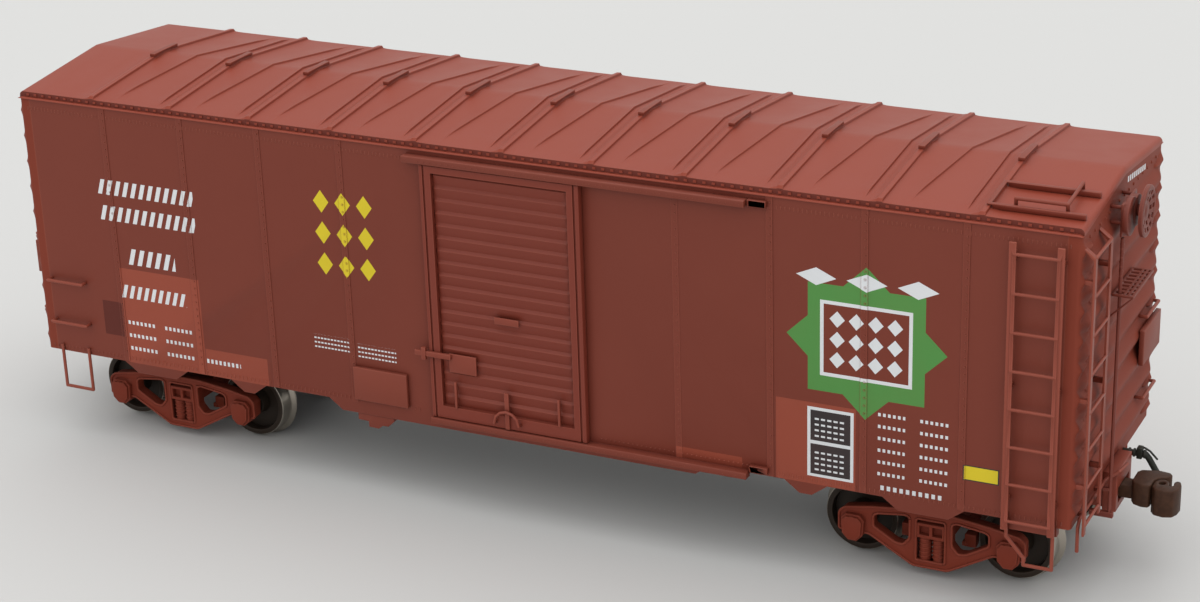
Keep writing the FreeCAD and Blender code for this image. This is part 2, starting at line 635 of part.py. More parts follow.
def brake_cylinder():
    """A drum with a flange at its open end and the piston's rod."""
    start, across, drop = "bearer_inner + 3.5", "-8.2", "2.6"
    drum = hung_tank(start, "7", across, drop, "2.1")
    drum.append(rod("x", f"{start} + 7", f"{start} + 7.6", (across, f"sill_low - {drop}"), "2.4"))
    drum.append(rod("x", f"{start} + 7.6", f"{start} + 10.9", (across, f"sill_low - {drop}"), "0.5"))
    return fused(drum)


def control_valve():
    """The valve body and the round chamber that lies across it."""
    body = [block(("1.5", "6.5"), ("7.6", "9.8"), ("sill_low - 3.6", "sill_low")),
            rod("y", "6.2", "11.2", ("4", "sill_low - 2.2"), "1.1")]
    return fused(body)


def brake_rigging():
    """Two levers under the sill and the rods that run from them to the trucks."""
    z = ("center_low - 0.45", "center_low - 0.05")
    mid = "center_low - 0.25"
    lever_in, lever_out, thick = "bearer_inner + 14.4", "-bearer_inner + 4.6", "0.7"
    rod_end = "truck_at - 16.5"
    return fused([
        block((lever_in, f"{lever_in} + {thick}"), ("-8.8", "4"), z),
        block((lever_out, f"{lever_out} + {thick}"), ("-8.8", "4"), z),
        rod("x", f"{lever_out} + {thick}", lever_in, ("-4.9", mid), "0.2"),
        rod("x", f"{lever_in} + {thick}", rod_end, ("3.4", mid), "0.2"),
        rod("x", f"-({rod_end})", lever_out, ("3.4", mid), "0.2")])


node("air_reservoir", [fused(hung_tank("-bearer_inner - 14.5", "12", "9.2", "2.9", "2.4"))])
node("brake_cylinder", [brake_cylinder()])
node("control_valve", [control_valve()])
node("brake_rigging", [brake_rigging()])


def king_pin(side):
    """A pin from the body bolster's plate down through a truck's bolster, and its head."""
    place = (f"{side} * truck_at", "0")
    head_top = "bolster_low - pivot_gap"
    return fused([rod("z", head_top, "pivot_high", place, "pin_radius"),
                  rod("z", f"{head_top} - pin_head_high", head_top, place, "pin_head")])


node("king_pins", [king_pin(1), king_pin(-1)])


# ------------------------------------------------------------------- doors

def door_tracks():
    """The right door's tracks, the hollow stops at their ends and a lug under the sill."""
    parts = []
    for low, tail, lift in (("track_top", "track_tail", "0"), ("track_low", "door_gap", "stop_lift")):
        foot, top = f"{low} + {lift}", f"{low} + {lift} + track_high"
        parts.append(block((f"-door_half - {tail}", "track_end"),
                           ("-side_half - track_deep", "-side_half"), (low, f"{low} + track_high")))
        stop = block(("track_end + door_run", "track_end + stop_long"),
                     ("-side_half - stop_deep", "-side_half"), (foot, top))
        hollow = block(("track_end + stop_skin * 3", "track_end + stop_long / 2"),
                       ("-side_half - stop_deep - 1", "-side_half - stop_skin"),
                       (f"{foot} + stop_skin", f"{top} - stop_skin"))
        parts.append(less(stop, hollow))
    # the lug's outline: distance along the car, depth below the tab
    outline = [("-2.7", "0"), ("-2.7", "1"), ("-1.2", "1.05"), ("-1.15", "1.85"), ("0.3", "1.9"),
               ("0.9", "1.4"), ("1.8", "1.35"), ("2.7", "0.5"), ("2.7", "0")]
    lug = body_named("lug")
    pad(lug, "XZ_Plane", [[(f"lug_at + {out}", f"sill_low - tab_deep - {deep}") for out, deep in outline]],
        "-side_half + stop_skin", "-inside_wide")
    return parts + [lug]


node("door_tracks_right", door_tracks())
node("door_tracks_left", door_tracks(), half_turned())


def door():
    """A pressed sheet in a frame, with a row of ribs across it."""
    body = body_named("door_sheet")
    inner_x = ("-door_half + door_frame_wide", "door_half - door_frame_wide")
    low, high = "door_low + door_rail_low", "door_high - door_rail_top"
    whole = rectangle(("-door_half", "door_half"), ("door_low", "door_high"))
    panel = rectangle(inner_x, (low, high))
    pad(body, "XZ_Plane", [whole], "-door_face", "-door_back")
    pad(body, "XZ_Plane", [whole, panel], "-door_front", "-door_face")
    space = f"(({high}) - ({low})) / 19"
    first = f"{low} + {space}"
    rib = rectangle(inner_x, (f"{first} - door_rib_high / 2", f"{first} + door_rib_high / 2"))
    one = pad(body, "XZ_Plane", [rib], "-door_face - door_rib_out", "-door_face")
    row_of(body, one, "Z_Axis", 18, f"17 * {space}")
    return body


def door_fittings():
    """The latch with its plate, centre post, roller brackets, handle and lifting loop."""
    face, rib = "-door_front", "-door_face - door_rib_out"
    latch = fused([block(("-door_half - 1.9", "-door_half + 3.3"), (f"{face} - 0.4", face),
                         ("door_low + 8.5", "door_low + 9.2")),
                   block(("-door_half - 0.9", "-door_half - 0.3"), (f"{face} - 0.5", face),
                         ("door_low + 8.0", "door_low + 9.7")),
                   block(("-door_half + 2.9", "-door_half + 6.8"), (f"{rib} - 0.25", rib),
                         ("door_low + 6.7", "door_low + 9.25"))])
    post = block(("-0.3", "0.3"), (f"{face} - 0.3", face), ("door_low + 0.1", "door_low + 5.1"))
    handle = block(("-1.3", "2.1"), (f"{rib} - 0.25", rib), ("door_low + 14.4", "door_low + 15.3"))
    brackets = [block((f"{side} * door_half * 2 / 3 - 0.15", f"{side} * door_half * 2 / 3 + 0.15"),
                      (f"{face} - 0.25", rib), ("door_low + 1.75", "door_low + 5.4"))
                for side in (-1, 1)]
    radius, middle, out = 1.75, "door_low + 0.9", f"{face} - 0.55"
    steps = [math.radians(angle) for angle in range(0, 181, 30)]
    arch = [(f"{radius * math.cos(turn):.4f}", out, f"{middle} + {radius * math.sin(turn):.4f}")
            for turn in steps]
    loop = bent_wire([(radius, face, middle)] + arch + [(-radius, face, middle)], 0.18)
    return [latch, post, handle, shaped(loop)] + brackets


for hand, turn in (("right", Placement()), ("left", half_turned())):
    node(f"door_{hand}", [door()], turn)
    node(f"door_{hand}_fittings", door_fittings(), turn)


# -------------------------------------------------------- ladders and irons

def side_ladder():
    """Two stiles, eight rungs and the feet that hold them off the side."""
    parts = []
    for hand in (-1, 1):
        middle = f"ladder_at + {hand} * ladder_wide / 2"
        parts.append(block((f"{middle} - stile_wide / 2", f"{middle} + stile_wide / 2"),
                           ("-ladder_front", "-ladder_back"), ("ladder_low", "side_ladder_top")))
        for high in ("rung_low + 0.5 * rung_pitch", "rung_low + 3.5 * rung_pitch",
                     "side_ladder_top - rung_pitch / 2"):
            parts.append(block((f"{middle} - stile_thick", f"{middle} + stile_thick"),
                               ("-ladder_back", "-side_half"), (high, f"{high} + stile_thick * 2")))
    for rung in range(8):
        parts.append(rod("x", "ladder_at - ladder_wide / 2", "ladder_at + ladder_wide / 2",
                         ("-ladder_back - stile_thick / 2", f"rung_low + {rung} * rung_pitch"),
                         "rung_radius"))
    return fused(parts)


def end_ladder():
    """The same on the end, its feet in the valleys and its head bent back to the sheet."""
    parts = []
    for hand in (-1, 1):
        middle = f"-end_ladder_at + {hand} * end_ladder_wide / 2"
        across = (f"{middle} - stile_wide / 2", f"{middle} + stile_wide / 2")
        parts.append(block(("end_ladder_back", "end_ladder_front"), across,
                           ("ladder_low", "end_ladder_top")))
        for valley in ("0.5", "4.5", "7.5"):
            high = f"rib_last - {valley} * rib_pitch"
            parts.append(block(("body_half", "end_ladder_back"),
                               (f"{middle} - stile_thick", f"{middle} + stile_thick"),
                               (f"{high} - stile_thick", f"{high} + stile_thick")))
        hook = [("body_half", "end_ladder_top + 1.2"), ("body_half", "end_ladder_top + 1.2 - stile_thick"),
                ("end_ladder_back", "end_ladder_top - stile_thick"),
                ("end_ladder_front", "end_ladder_top - stile_thick"),
                ("end_ladder_front", "end_ladder_top")]
        body = body_named("hook")
        pad(body, "XZ_Plane", [hook], *across)
        parts.append(body)
    for rung in range(8):
        parts.append(rod("y", "-end_ladder_at - end_ladder_wide / 2",
                         "-end_ladder_at + end_ladder_wide / 2",
                         ("end_ladder_back + stile_thick / 2", f"rung_low + {rung} * rung_pitch"),
                         "rung_radius"))
    return fused(parts)


node("side_ladder_right", [side_ladder()])
node("side_ladder_left", [side_ladder()], half_turned())
node("end_ladder_front", [end_ladder()])
node("end_ladder_rear", [end_ladder()], half_turned())


def staple(foot, out, long, radius):
    """A wire iron from its first foot: stands out, runs along, comes back in."""
    far = [f"{place} + {run}" for place, run in zip(foot, long)]
    return bent_wire([foot, [f"{place} + {way}" for place, way in zip(foot, out)],
                      [f"{place} + {way}" for place, way in zip(far, out)], far], radius)


def irons():
    """Grab irons: two on the side at the rear, two on the end at the left."""
    wire = size("wire")
    made = []
    for high in ("sill_low + 10.75", "sill_low + 4.65"):
        made.append(staple(("-body_half + iron_in", "-side_half", high), ("0", "-iron_out", "0"),
                           ("iron_long", "0", "0"), wire))
    for valley in ("4.5", "7.5"):
        made.append(staple(("body_half", "side_half - end_iron_in", f"rib_last - {valley} * rib_pitch"),
                           ("iron_out", "0", "0"), ("0", "-iron_long", "0"), wire))
    return [shaped(shape) for shape in made]


node("grab_irons", twice(irons))


def steps():
    """Wire sill steps: one below the side ladder and one at the other corner."""
    wire = size("wire")
    face, top = "-side_half - wire", "sill_low + 1"
    near, far = "ladder_at - ladder_wide / 2", "ladder_at + ladder_wide / 2"
    under_ladder = bent_wire([(near, face, top), (near, face, "step_foot + 3.4"),
                              (f"{near} + 2.2", face, "step_foot + 0.9"),
                              (f"{near} + 2.2", face, "step_foot"), (far, face, "step_foot"),
                              (far, face, top)], wire)
    back, fore = "-body_half + iron_in + 0.6", "-body_half + iron_in + 5.0"
    plain = bent_wire([(back, face, top), (back, face, "step_foot + 0.2"),
                       (fore, face, "step_foot + 0.2"), (fore, face, top)], wire)
    return [shaped(under_ladder), shaped(plain)]


node("sill_steps", twice(steps))


# ---------------------------------------------------------------- couplers

def coupler_box():
    """A box under the end with a post inside, and the striker round its mouth."""
    outer = fused([
        block((box_back, "body_half"), ("-box_half", "box_half"), ("cavity_low - box_floor", "sill_low")),
        block(("body_half", "body_half + striker_out"),
              ("-box_half - striker_rim", "box_half + striker_rim"),
              ("cavity_low - box_floor - striker_rim", "sill_low + striker_up"))])
    inside = block((f"{box_back} + box_wall", "body_half + striker_out + 1"),
                   ("-box_half + box_wall", "box_half - box_wall"), ("cavity_low", "cavity_high"))
    post = rod("z", "cavity_low", "cavity_high", ("post_at", "0"), "post_radius")
    return [fused([less(outer, inside), post])]


node("coupler_boxes", twice(coupler_box))


def coupler():
    """An eye round the post, a straight shank, and a head with a short guard arm."""
    z = ("coupler_mid - shank_half_high", "coupler_mid + shank_half_high")
    eye = rod("z", *z, ("post_at", "0"), "eye_radius")
    shank = block(("post_at", "head_at + 0.3"), ("-shank_half_wide", "shank_half_wide"), z)
    # the head seen from above: distance from its root, place across the car
    outline = [("0", "-1.2"), ("0.4", "-1.9"), ("1.4", "-2.3"), ("2.3", "-2.2"), ("2.45", "-1.6"),
               ("2.45", "-0.4"), ("2.8", "0.4"), ("3.6", "0.75"), ("4.1", "1.2"), ("4.2", "1.8"),
               ("3.8", "2.3"), ("2.4", "2.5"), ("0.4", "1.9"), ("0", "1.2")]
    head = body_named("head")
    pad(head, "XY_Plane", [[(f"head_at + {out}", across) for out, across in outline]],
        "coupler_mid - shank_half_high - 0.3", "coupler_mid + shank_half_high + 1")
    hole = rod("z", "cavity_low", "cavity_high", ("post_at", "0"), "post_radius + post_gap")
    return less(fused([eye, shank, head]), hole)


def knuckle():
    """The hooked finger that closes round the next car's, bored for its pin."""
    outline = [("2.6", "-1.9"), ("3.1", "-2.6"), ("4.3", "-2.8"), ("5.3", "-2.4"), ("5.7", "-1.5"),
               ("5.8", "-0.3"), ("5.5", "0.55"), ("5.0", "0.6"), ("4.8", "0.1"), ("4.9", "-0.7"),
               ("4.6", "-1.1"), ("4.35", "-0.6"), ("4.2", "0.1"), ("3.6", "0.55"), ("2.85", "0.25"),
               ("2.6", "-0.5")]
    body = body_named("finger")
    low, high = "coupler_mid - shank_half_high - 0.95", "coupler_mid + shank_half_high + 0.9"
    pad(body, "XY_Plane", [[(f"head_at + {out}", across) for out, across in outline]], low, high)
    return less(body, rod("z", f"{low} - 1", f"{high} + 1", ("head_at + 3.5", "-0.6"), "knuckle_bore"))


for end, turn in (("front", Placement()), ("rear", half_turned())):
    node(f"coupler_{end}", [coupler()], turn)
    node(f"knuckle_{end}", [knuckle()], turn)


# ---------------------------------------------------- brake gear on the end

def brake_wheel():
    """A dished pressed wheel with two rings of openings, on its short shaft."""
    plane = size("body_half") + size("brake_wheel_out")
    radius = size("brake_wheel_radius")
    centre = Vector(plane, size("brake_wheel_y"), size("brake_wheel_z"))
    ahead = Vector(1, 0, 0)
    # half section, as distance ahead of the wheel's plane and radius
    section = [(-1.0, 0), (-1.0, 0.7), (-0.35, 0.7), (-0.35, 1.0), (-0.05, radius - 0.3),
               (-0.25, radius), (0.2, radius), (0.3, radius - 0.35), (-0.05, 0.9), (0.1, 0.5), (0.1, 0)]
    spots = [centre + Vector(out, 0, across) for out, across in section]
    face = Part.Face(Part.makePolygon(spots + spots[:1]))
    wheel = face.revolve(centre, ahead, 360)
    # two rings of openings: middle radius, height, width, count
    for middle, tall, wide, count in ((1.45, 0.5, 0.55, 8), (2.25, 0.5, 0.6, 12)):
        for number in range(count):
            slot = Part.makeBox(2, wide, tall, centre + Vector(-1, -wide / 2, middle - tall / 2))
            slot.rotate(centre, ahead, 360 * number / count)
            wheel = wheel.cut(slot)
    return wheel


def brake_winch():
    """The hand brake's back plate on four pins, with the gear case and drum in front of it."""
    back = "body_half + winch_out"
    top, low = "brake_wheel_z + 1.9", "brake_wheel_z - 2.1"
    left, right = "winch_left", "brake_wheel_y + winch_radius"
    parts = [block((back, f"{back} + winch_plate"), (left, right), (low, top)),
             rod("x", f"{back} + winch_plate", "body_half + brake_wheel_out - 1",
                 ("brake_wheel_y", "brake_wheel_z"), "winch_radius"),
             rod("x", f"{back} + winch_plate", f"{back} + winch_plate + gear_thick",
                 ("rod_y + gear_in", "brake_wheel_z"), "gear_radius")]
    for across in (f"{left} + 0.5", f"{right} - 0.5"):
        for high in (f"{top} - 0.5", f"{low} + 1.6"):
            parts.append(rod("x", "body_half", back, (across, high), "wire"))
    return fused(parts)


def brake_rod():
    """The rod down from the hand brake, its crank at the sill and its hanger."""
    at = "body_half + rod_out"
    foot = "center_low"
    thick = ("rod_y - 0.3", "rod_y + 0.3")
    down = rod("z", foot, "brake_wheel_z - gear_radius - 0.05", (at, "rod_y"), "wire")
    crank = block((f"{at} - 2.4", f"{at} + 0.5"), thick, (f"{foot} - 0.7", foot))
    hanger = block(("body_half", f"{at} - 0.1"), thick, ("sill_low + 0.05", "sill_low + 0.45"))
    return fused([down, crank, hanger])


def brake_step():
    """An open grating on two sloping brackets below the brake wheel."""
    z = ("step_high - step_bar", "step_high")
    left, right = "rod_y - 0.85", "rod_y - 0.85 + step_wide"
    back, front = "rib_face + 0.07", "rib_face + 0.07 + step_deep"
    # bars across the car, the first two either side of the brake rod, then bars along it
    lines = (back, "body_half + rod_out + 0.48", "body_half + rod_out + 1.02", f"{front} - step_bar")
    parts = [block((line, f"{line} + step_bar"), (left, right), z) for line in lines]
    for number in range(9):
        across = f"{left} + {number} * (step_wide - step_bar) / 8"
        parts.append(block((back, front), (across, f"{across} + step_bar"), z))
    for across in (left, f"{right} - step_bar"):
        body = body_named("bracket")
        slant = [(front, "step_high - step_bar"), (f"{front} - step_bar", "step_high - step_bar"),
                 ("rib_face + fit", "step_high - 2.6"), ("rib_face + fit", "step_high - 2.9")]
        pad(body, "XZ_Plane", [slant], across, f"{across} + step_bar")
        parts.append(body)
    return fused(parts)


node("brake_wheel", [shaped(brake_wheel())])
node("brake_housing", [brake_winch()])
node("brake_rod", [brake_rod()])
node("brake_step", [brake_step()])


def placard_boards():
    """Blank boards: one on the side by the door, one on the end."""
    near = "-door_half - board_from_door"
    low, end_low = "sill_low + board_low", "sill_low + end_board_low"
    side = block((f"{near} - board_wide", near), ("-side_half - board_thick", "-side_half"),
                 (low, f"{low} + board_high"))
    front, edge = "rib_face + fit", "side_half - board_edge"
    end = block((front, f"{front} + board_thick"), (f"{edge} - board_wide", edge),
                (end_low, f"{end_low} + board_high"))
    return [side, end]


node("placard_boards", twice(placard_boards))


def uncoupling_lever():
    """A bent rod from the coupler to a handle at the corner, on two brackets."""
    rail, out = "sill_low + 0.85", "body_half + 0.6"
    corner = "-side_half + 1"
    lever = bent_wire([("body_half + 2.4", -1.4, "sill_low + 1.85"),
                       ("body_half + 2", -3.9, "sill_low + 1.85"), (out, -4.6, rail),
                       (out, f"{corner} + 0.7", rail), (out, corner, f"{rail} - 0.8"),
                       (out, corner, "sill_low - 3.15")], size("wire"))
    brackets = [block(("body_half", out), (across, f"{across} + 0.5"), (f"{rail} - 0.25", f"{rail} + 0.25"))
                for across in ("rod_y - 1.9", "-side_half + 2.8")]
    return [fused([shaped(lever)] + brackets)]


node("uncoupling_levers", twice(uncoupling_lever))


def air_line():
    """The moulded end of the air line: a pipe, its valve with a lever, a hose and the coupling."""
    # distance from the end, place across the car, height above the sheets' bottom
    route = [(0, 5.6, 0.1), (2.9, 5.6, 0.05), (3.3, 5.6, -0.4), (4.4, 5.5, -2.1), (4.8, 5.4, -3.9)]
    lever = [(2.1, 5.6, 0.85), (2.7, 5.6, 0.95), (3.4, 5.6, 0.6), (4.4, 5.6, -0.4)]
    wires = [shaped(bent_wire([(f"body_half + {out}", across, f"sill_low + {up}")
                               for out, across, up in points], thick))
             for points, thick in ((route, 0.4), (lever, 0.13))]
    collars = [rod("x", f"body_half + {start}", f"body_half + {start} + 0.3", ("5.6", "sill_low + 0.1"),
                   "collar_radius") for start in (0.7, 1.3, 2.6)]
    valve = block(("body_half + 1.8", "body_half + 2.5"), ("5.1", "6.1"),
                  ("sill_low - 0.5", "sill_low + 1"))
    coupling = block(("body_half + 4.4", "body_half + 5.3"), ("4.9", "6.1"),
                     ("sill_low - 5.1", "sill_low - 3.7"))
    return [fused(wires + collars + [valve, coupling])]


node("air_line_ends", twice(air_line))


# ------------------------------------------------------------------ trucks

def mirrored(half):
    """A list of (out, up) corners and its mirror image, as one closed outline."""
    return half + [(f"-({out})", up) for out, up in reversed(half)]


def side_frame():
    """A cast side frame on the -Y side: truss, springs and two journal boxes."""
    body = body_named("truss")
    # right half of the truss: distance from the middle, height from the axle
    half = [("2.2", "-3.93"), ("4.1", "-2.88"), ("axle_half - 2", "-0.73"), ("axle_half + 1.9", "-0.73"),
            ("axle_half + 1.9", "1.57"), ("axle_half + 1.2", "2.27"), ("axle_half - 2.3", "2.92"),
            ("3.2", "3.47")]
    hole = [("2.65", "2.47"), ("2.65", "-0.43"), ("3.5", "-1.43"), ("4.5", "-1.33"),
            ("axle_half - 2.5", "0.37"), ("axle_half - 2.5", "1.87"), ("axle_half - 3", "2.22"),
            ("3.3", "2.72")]
    edge = mirrored([(out, f"axle_high + {up}") for out, up in half])
    holes = [[(f"{hand} * ({out})", f"axle_high + {up}") for out, up in hole] for hand in (-1, 1)]
    play = "bolster_end + bolster_play"
    window = rectangle((f"-({play})", play), ("axle_high - spring_foot", "bolster_high + 0.55"))
    pad(body, "XZ_Plane", [edge] + holes + [window], "-frame_out", "-frame_in")
    parts = [body]
    for across in ("-spring_at", "spring_at"):
        parts.append(rod("z", "axle_high - spring_foot", "bolster_low",
                         (across, "-frame_in - frame_thick / 2"), "spring_radius"))
    # a journal box from the front: distance from the axle, sideways and up
    lid = [("-1.5", "1.0"), ("-0.9", "1.7"), ("0.9", "1.7"), ("1.5", "1.0"), ("1.35", "-1.0"),
           ("0.55", "-1.85"), ("-0.55", "-1.85"), ("-1.35", "-1.0")]
    for hand in (-1, 1):
        for low, high, share in (("-box_out", "-box_in", "1"),
                                 ("-box_out - lid_thick", "-box_out", "lid_share")):
            outline = [(f"{hand} * axle_half + ({out}) * {share}", f"axle_high + ({up}) * {share}")
                       for out, up in lid]
            box = body_named("journal_box")
            pad(box, "XZ_Plane", [outline], low, high)
            parts.append(box)
    frame = fused(parts)
    for hand in (-1, 1):
        bearing = rod("y", "-axle_reach - bearing_end", "-box_in + 1",
                      (f"{hand} * axle_half", "axle_high"), "bearing_radius")
        frame = less(frame, bearing)
    return frame


def truck_bolster():
    """A cross beam whose ends ride in the side frames, pocketed there and bored for the king pin."""
    end_y, body_y = "frame_out + bearing_end", "frame_in - bolster_play * 2.5"
    ends, body = ("bolster_low", "bolster_high"), ("-bolster_body", "bolster_body")
    beam = fused([block(("-bolster_end", "bolster_end"), (f"-({end_y})", end_y), ends),
                  block(body, (f"-({body_y})", body_y), ends),
                  block(body, ("-crown_half", "crown_half"), ("bolster_high", "bolster_top"))])
    pockets = [block((f"{left}", f"{left} + pocket_wide"), deep,
                     ("bolster_low + pocket_edge", "bolster_high - pocket_edge"))
               for left in ("-pocket_edge / 2 - pocket_wide", "pocket_edge / 2")
               for deep in ((f"-({end_y}) - 1", f"-({end_y}) + pocket_deep"),
                            (f"{end_y} - pocket_deep", f"{end_y} + 1"))]
    beam = less(beam, fused(pockets))
    return less(beam, rod("z", "bolster_low - 1", "bolster_top + 1", ("0", "0"), "pin_bore"))


def brake_beams():
    """A beam, two heads and two hangers inboard of each axle, hung under the bolster."""
    beams = []
    for hand in (-1, 1):
        def span(near, far):
            return (f"-({far})", f"-({near})") if hand < 0 else (near, far)
        beam = ("beam_at - beam_thick / 2", "beam_at + beam_thick / 2")
        low = "axle_high - 1.73"
        parts = [block(span(*beam), ("-wheel_back - wheel_wide", "wheel_back + wheel_wide"),
                       (low, f"{low} + beam_thick"))]
        for side in (-1, 1):
            hanger = [f"{side} * center_plate_radius", f"{side} * (center_plate_radius + beam_thick)"]
            head = [f"{side} * (wheel_back + 1.2)", f"{side} * (wheel_back + 2.6)"]
            parts.append(block(span("pin_gap", beam[1]), sorted(hanger, key=worked),
                               (f"{low} + beam_thick / 2", "bolster_low")))
            parts.append(block(span("beam_at", "shoe_face"), sorted(head, key=worked),
                               (f"{low} - 0.1", "bolster_low - pivot_gap")))
        beams.append(fused(parts))
    return beams


def axle():
    """A plain bar, thicker between its wheels, with a short bevel at each tip."""
    inner = "wheel_back - hub_out"
    half = [("axle_reach", "0"), ("axle_reach - axle_radius / 2", "axle_radius"),
            (inner, "axle_radius"), (inner, "axle_body")]
    body = body_named("axle_bar")
    turned(body, "YZ_Plane", [half + [(f"-({out})", up) for out, up in reversed(half)]], "H_Axis")
    return body


def wheel(hand):
    """A flanged wheel: rim, thin plate and hub, bored for the axle."""
    back, out = "wheel_back", "wheel_back + wheel_wide"
    ring, dish = "tread_radius - rim_thick", "hub_radius + 0.3"
    # half section, as distance from the track's middle and radius
    profile = [
        (f"{back} - hub_out", "axle_radius"), (f"{back} - hub_out", "hub_radius"),
        (f"{back} + 0.8", dish), (f"{back} + 0.8", ring), (back, ring),
        (back, "tread_radius + flange_high / 2"), (f"{back} + 0.2", "tread_radius + flange_high"),
        (f"{back} + 0.42", "tread_radius + flange_high"), (f"{back} + 0.7", "tread_radius + flange_high / 4"),
        (f"{back} + 0.85", "tread_radius"), (f"{out} - 0.1", "tread_radius - 0.08"),
        (out, "tread_radius - 0.18"), (out, ring), (f"{back} + 1.5", f"{ring} - 0.1"),
        (f"{back} + 1.5", dish), (f"{out} + hub_out", "hub_radius"), (f"{out} + hub_out", "axle_radius")]
    if hand < 0:
        profile = [(f"-({place})", radius) for place, radius in reversed(profile)]
    body = body_named("wheel_disc")
    turned(body, "YZ_Plane", [profile], "H_Axis")
    return body


for end, side in (("front", 1), ("rear", -1)):
    place = Placement(Vector(side * size("truck_at"), 0, 0), Rotation())
    node(f"truck_{end}_frame_right", [side_frame()], place)
    node(f"truck_{end}_frame_left", [side_frame()], place.multiply(half_turned()))
    node(f"truck_{end}_bolster", [truck_bolster()], place)
    node(f"truck_{end}_brake_beams", brake_beams(), place)
    for spot, hand in (("outer", side), ("inner", -side)):
        centre = Placement(Vector(side * size("truck_at") + hand * size("axle_half"), 0,
                                  size("axle_high")), Rotation())
        node(f"axle_{end}_{spot}", [axle()], centre)
        node(f"wheels_{end}_{spot}", [wheel(1), wheel(-1)], centre)


# ------------------------------------------------------- checks and writing

doc.recompute()
failed = [item.Name for item in doc.Objects if {"Invalid", "Error"} & set(item.State)]
if failed:
    raise SystemExit(f"objects that did not build: {failed}")
for group in nodes:
    if group.Shape.isNull() or not group.Shape.isValid() or not group.Shape.Solids:
        raise SystemExit(f"bad shape: {group.Label}")

os.makedirs("parts", exist_ok=True)
for group in nodes:
    group.Shape.exportStep(f"parts/{group.Label}.step")
print(len(nodes), "nodes,", sum(len(group.Shape.Solids) for group in nodes), "solids")
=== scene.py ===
"""Looks of the scale model railroad boxcar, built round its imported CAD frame.

The script's own lengths are millimetres in the car's frame: +X is the end with the
hand brake, -Y the right side and +Z up. Each piece is scaled to metres as it is
finished. The car's left side and rear end are its right side and front end turned
half round the upright axis.
"""
import json
import math
import bmesh
import bpy
from mathutils import Matrix, Vector

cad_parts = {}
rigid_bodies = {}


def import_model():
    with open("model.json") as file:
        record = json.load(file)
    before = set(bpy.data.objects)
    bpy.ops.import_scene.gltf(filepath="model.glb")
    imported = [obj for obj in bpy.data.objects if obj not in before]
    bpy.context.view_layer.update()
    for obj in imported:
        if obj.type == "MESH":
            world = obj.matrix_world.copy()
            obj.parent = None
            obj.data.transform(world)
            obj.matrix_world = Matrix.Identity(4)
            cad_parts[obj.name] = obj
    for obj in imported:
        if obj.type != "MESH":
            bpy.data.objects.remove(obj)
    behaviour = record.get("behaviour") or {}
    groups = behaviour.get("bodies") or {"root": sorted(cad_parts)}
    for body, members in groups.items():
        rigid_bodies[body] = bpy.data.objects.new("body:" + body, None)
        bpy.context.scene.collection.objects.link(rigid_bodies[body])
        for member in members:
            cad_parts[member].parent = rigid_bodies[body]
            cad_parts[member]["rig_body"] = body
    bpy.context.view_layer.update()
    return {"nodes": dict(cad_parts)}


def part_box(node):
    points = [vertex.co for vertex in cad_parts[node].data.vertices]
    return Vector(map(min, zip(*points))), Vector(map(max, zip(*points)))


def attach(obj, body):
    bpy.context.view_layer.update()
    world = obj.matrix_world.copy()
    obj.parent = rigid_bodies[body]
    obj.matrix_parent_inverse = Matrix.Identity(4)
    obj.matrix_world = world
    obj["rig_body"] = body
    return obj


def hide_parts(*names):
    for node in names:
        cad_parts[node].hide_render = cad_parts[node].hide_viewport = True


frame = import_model()

# ------------------------------------------------------------------ camera
# A short telephoto lens a little above the roof, looking at the right side
# and, at a slant, at the end with the hand brake.

MM = 0.001
CAMERA_AT = (142.65, -278.1, 150.98)
TURN, TILT, ROLL = 26.44, 67.8, -1.88   # degrees
SENSOR_WIDTH, LENS = 36, 76.9           # millimetres

camera_data = bpy.data.cameras.new("camera")
camera_data.sensor_width = SENSOR_WIDTH
camera_data.lens = LENS
camera_data.clip_start = 0.01
camera = bpy.data.objects.new("camera", camera_data)
bpy.context.scene.collection.objects.link(camera)
camera.matrix_world = (Matrix.Translation(Vector(CAMERA_AT) * MM)
                       @ Matrix.Rotation(math.radians(TURN), 4, "Z")
                       @ Matrix.Rotation(math.radians(TILT), 4, "X")
                       @ Matrix.Rotation(math.radians(ROLL), 4, "Z"))
bpy.context.scene.camera = camera
bpy.context.scene.view_settings.view_transform = "Standard"

# ------------------------------------------------------- table and light
# A plain pale table that runs on past the view, under two broad soft lamps,
# one above and a little behind the car and one in front of it.

TABLE_GREY = (0.56, 0.56, 0.55, 1)
TABLE_HALF = 4              # metres
ROOM_GREY = (0.72, 0.72, 0.71, 1)
ROOM_LIGHT = 0.8            # strength of the room's own light
# name, strength, apparent width in degrees, where the light comes from
LAMPS = (("lamp_behind", 1.05, 80, (0.1, 0.4, 1.5)),
         ("lamp_front", 0.85, 80, (0.15, -1.0, 1.4)))

table_mesh = bmesh.new()
bmesh.ops.create_grid(table_mesh, x_segments=1, y_segments=1, size=TABLE_HALF)
table_data = bpy.data.meshes.new("table")
table_mesh.to_mesh(table_data)
table_mesh.free()
table = bpy.data.objects.new("table", table_data)
bpy.context.scene.collection.objects.link(table)

table_paint = bpy.data.materials.new("table_paint")
table_paint.use_nodes = True
table_shader = table_paint.node_tree.nodes["Principled BSDF"]
table_shader.inputs["Base Color"].default_value = TABLE_GREY
table_shader.inputs["Roughness"].default_value = 0.7
table_shader.inputs["Specular IOR Level"].default_value = 0.2
table_data.materials.append(table_paint)

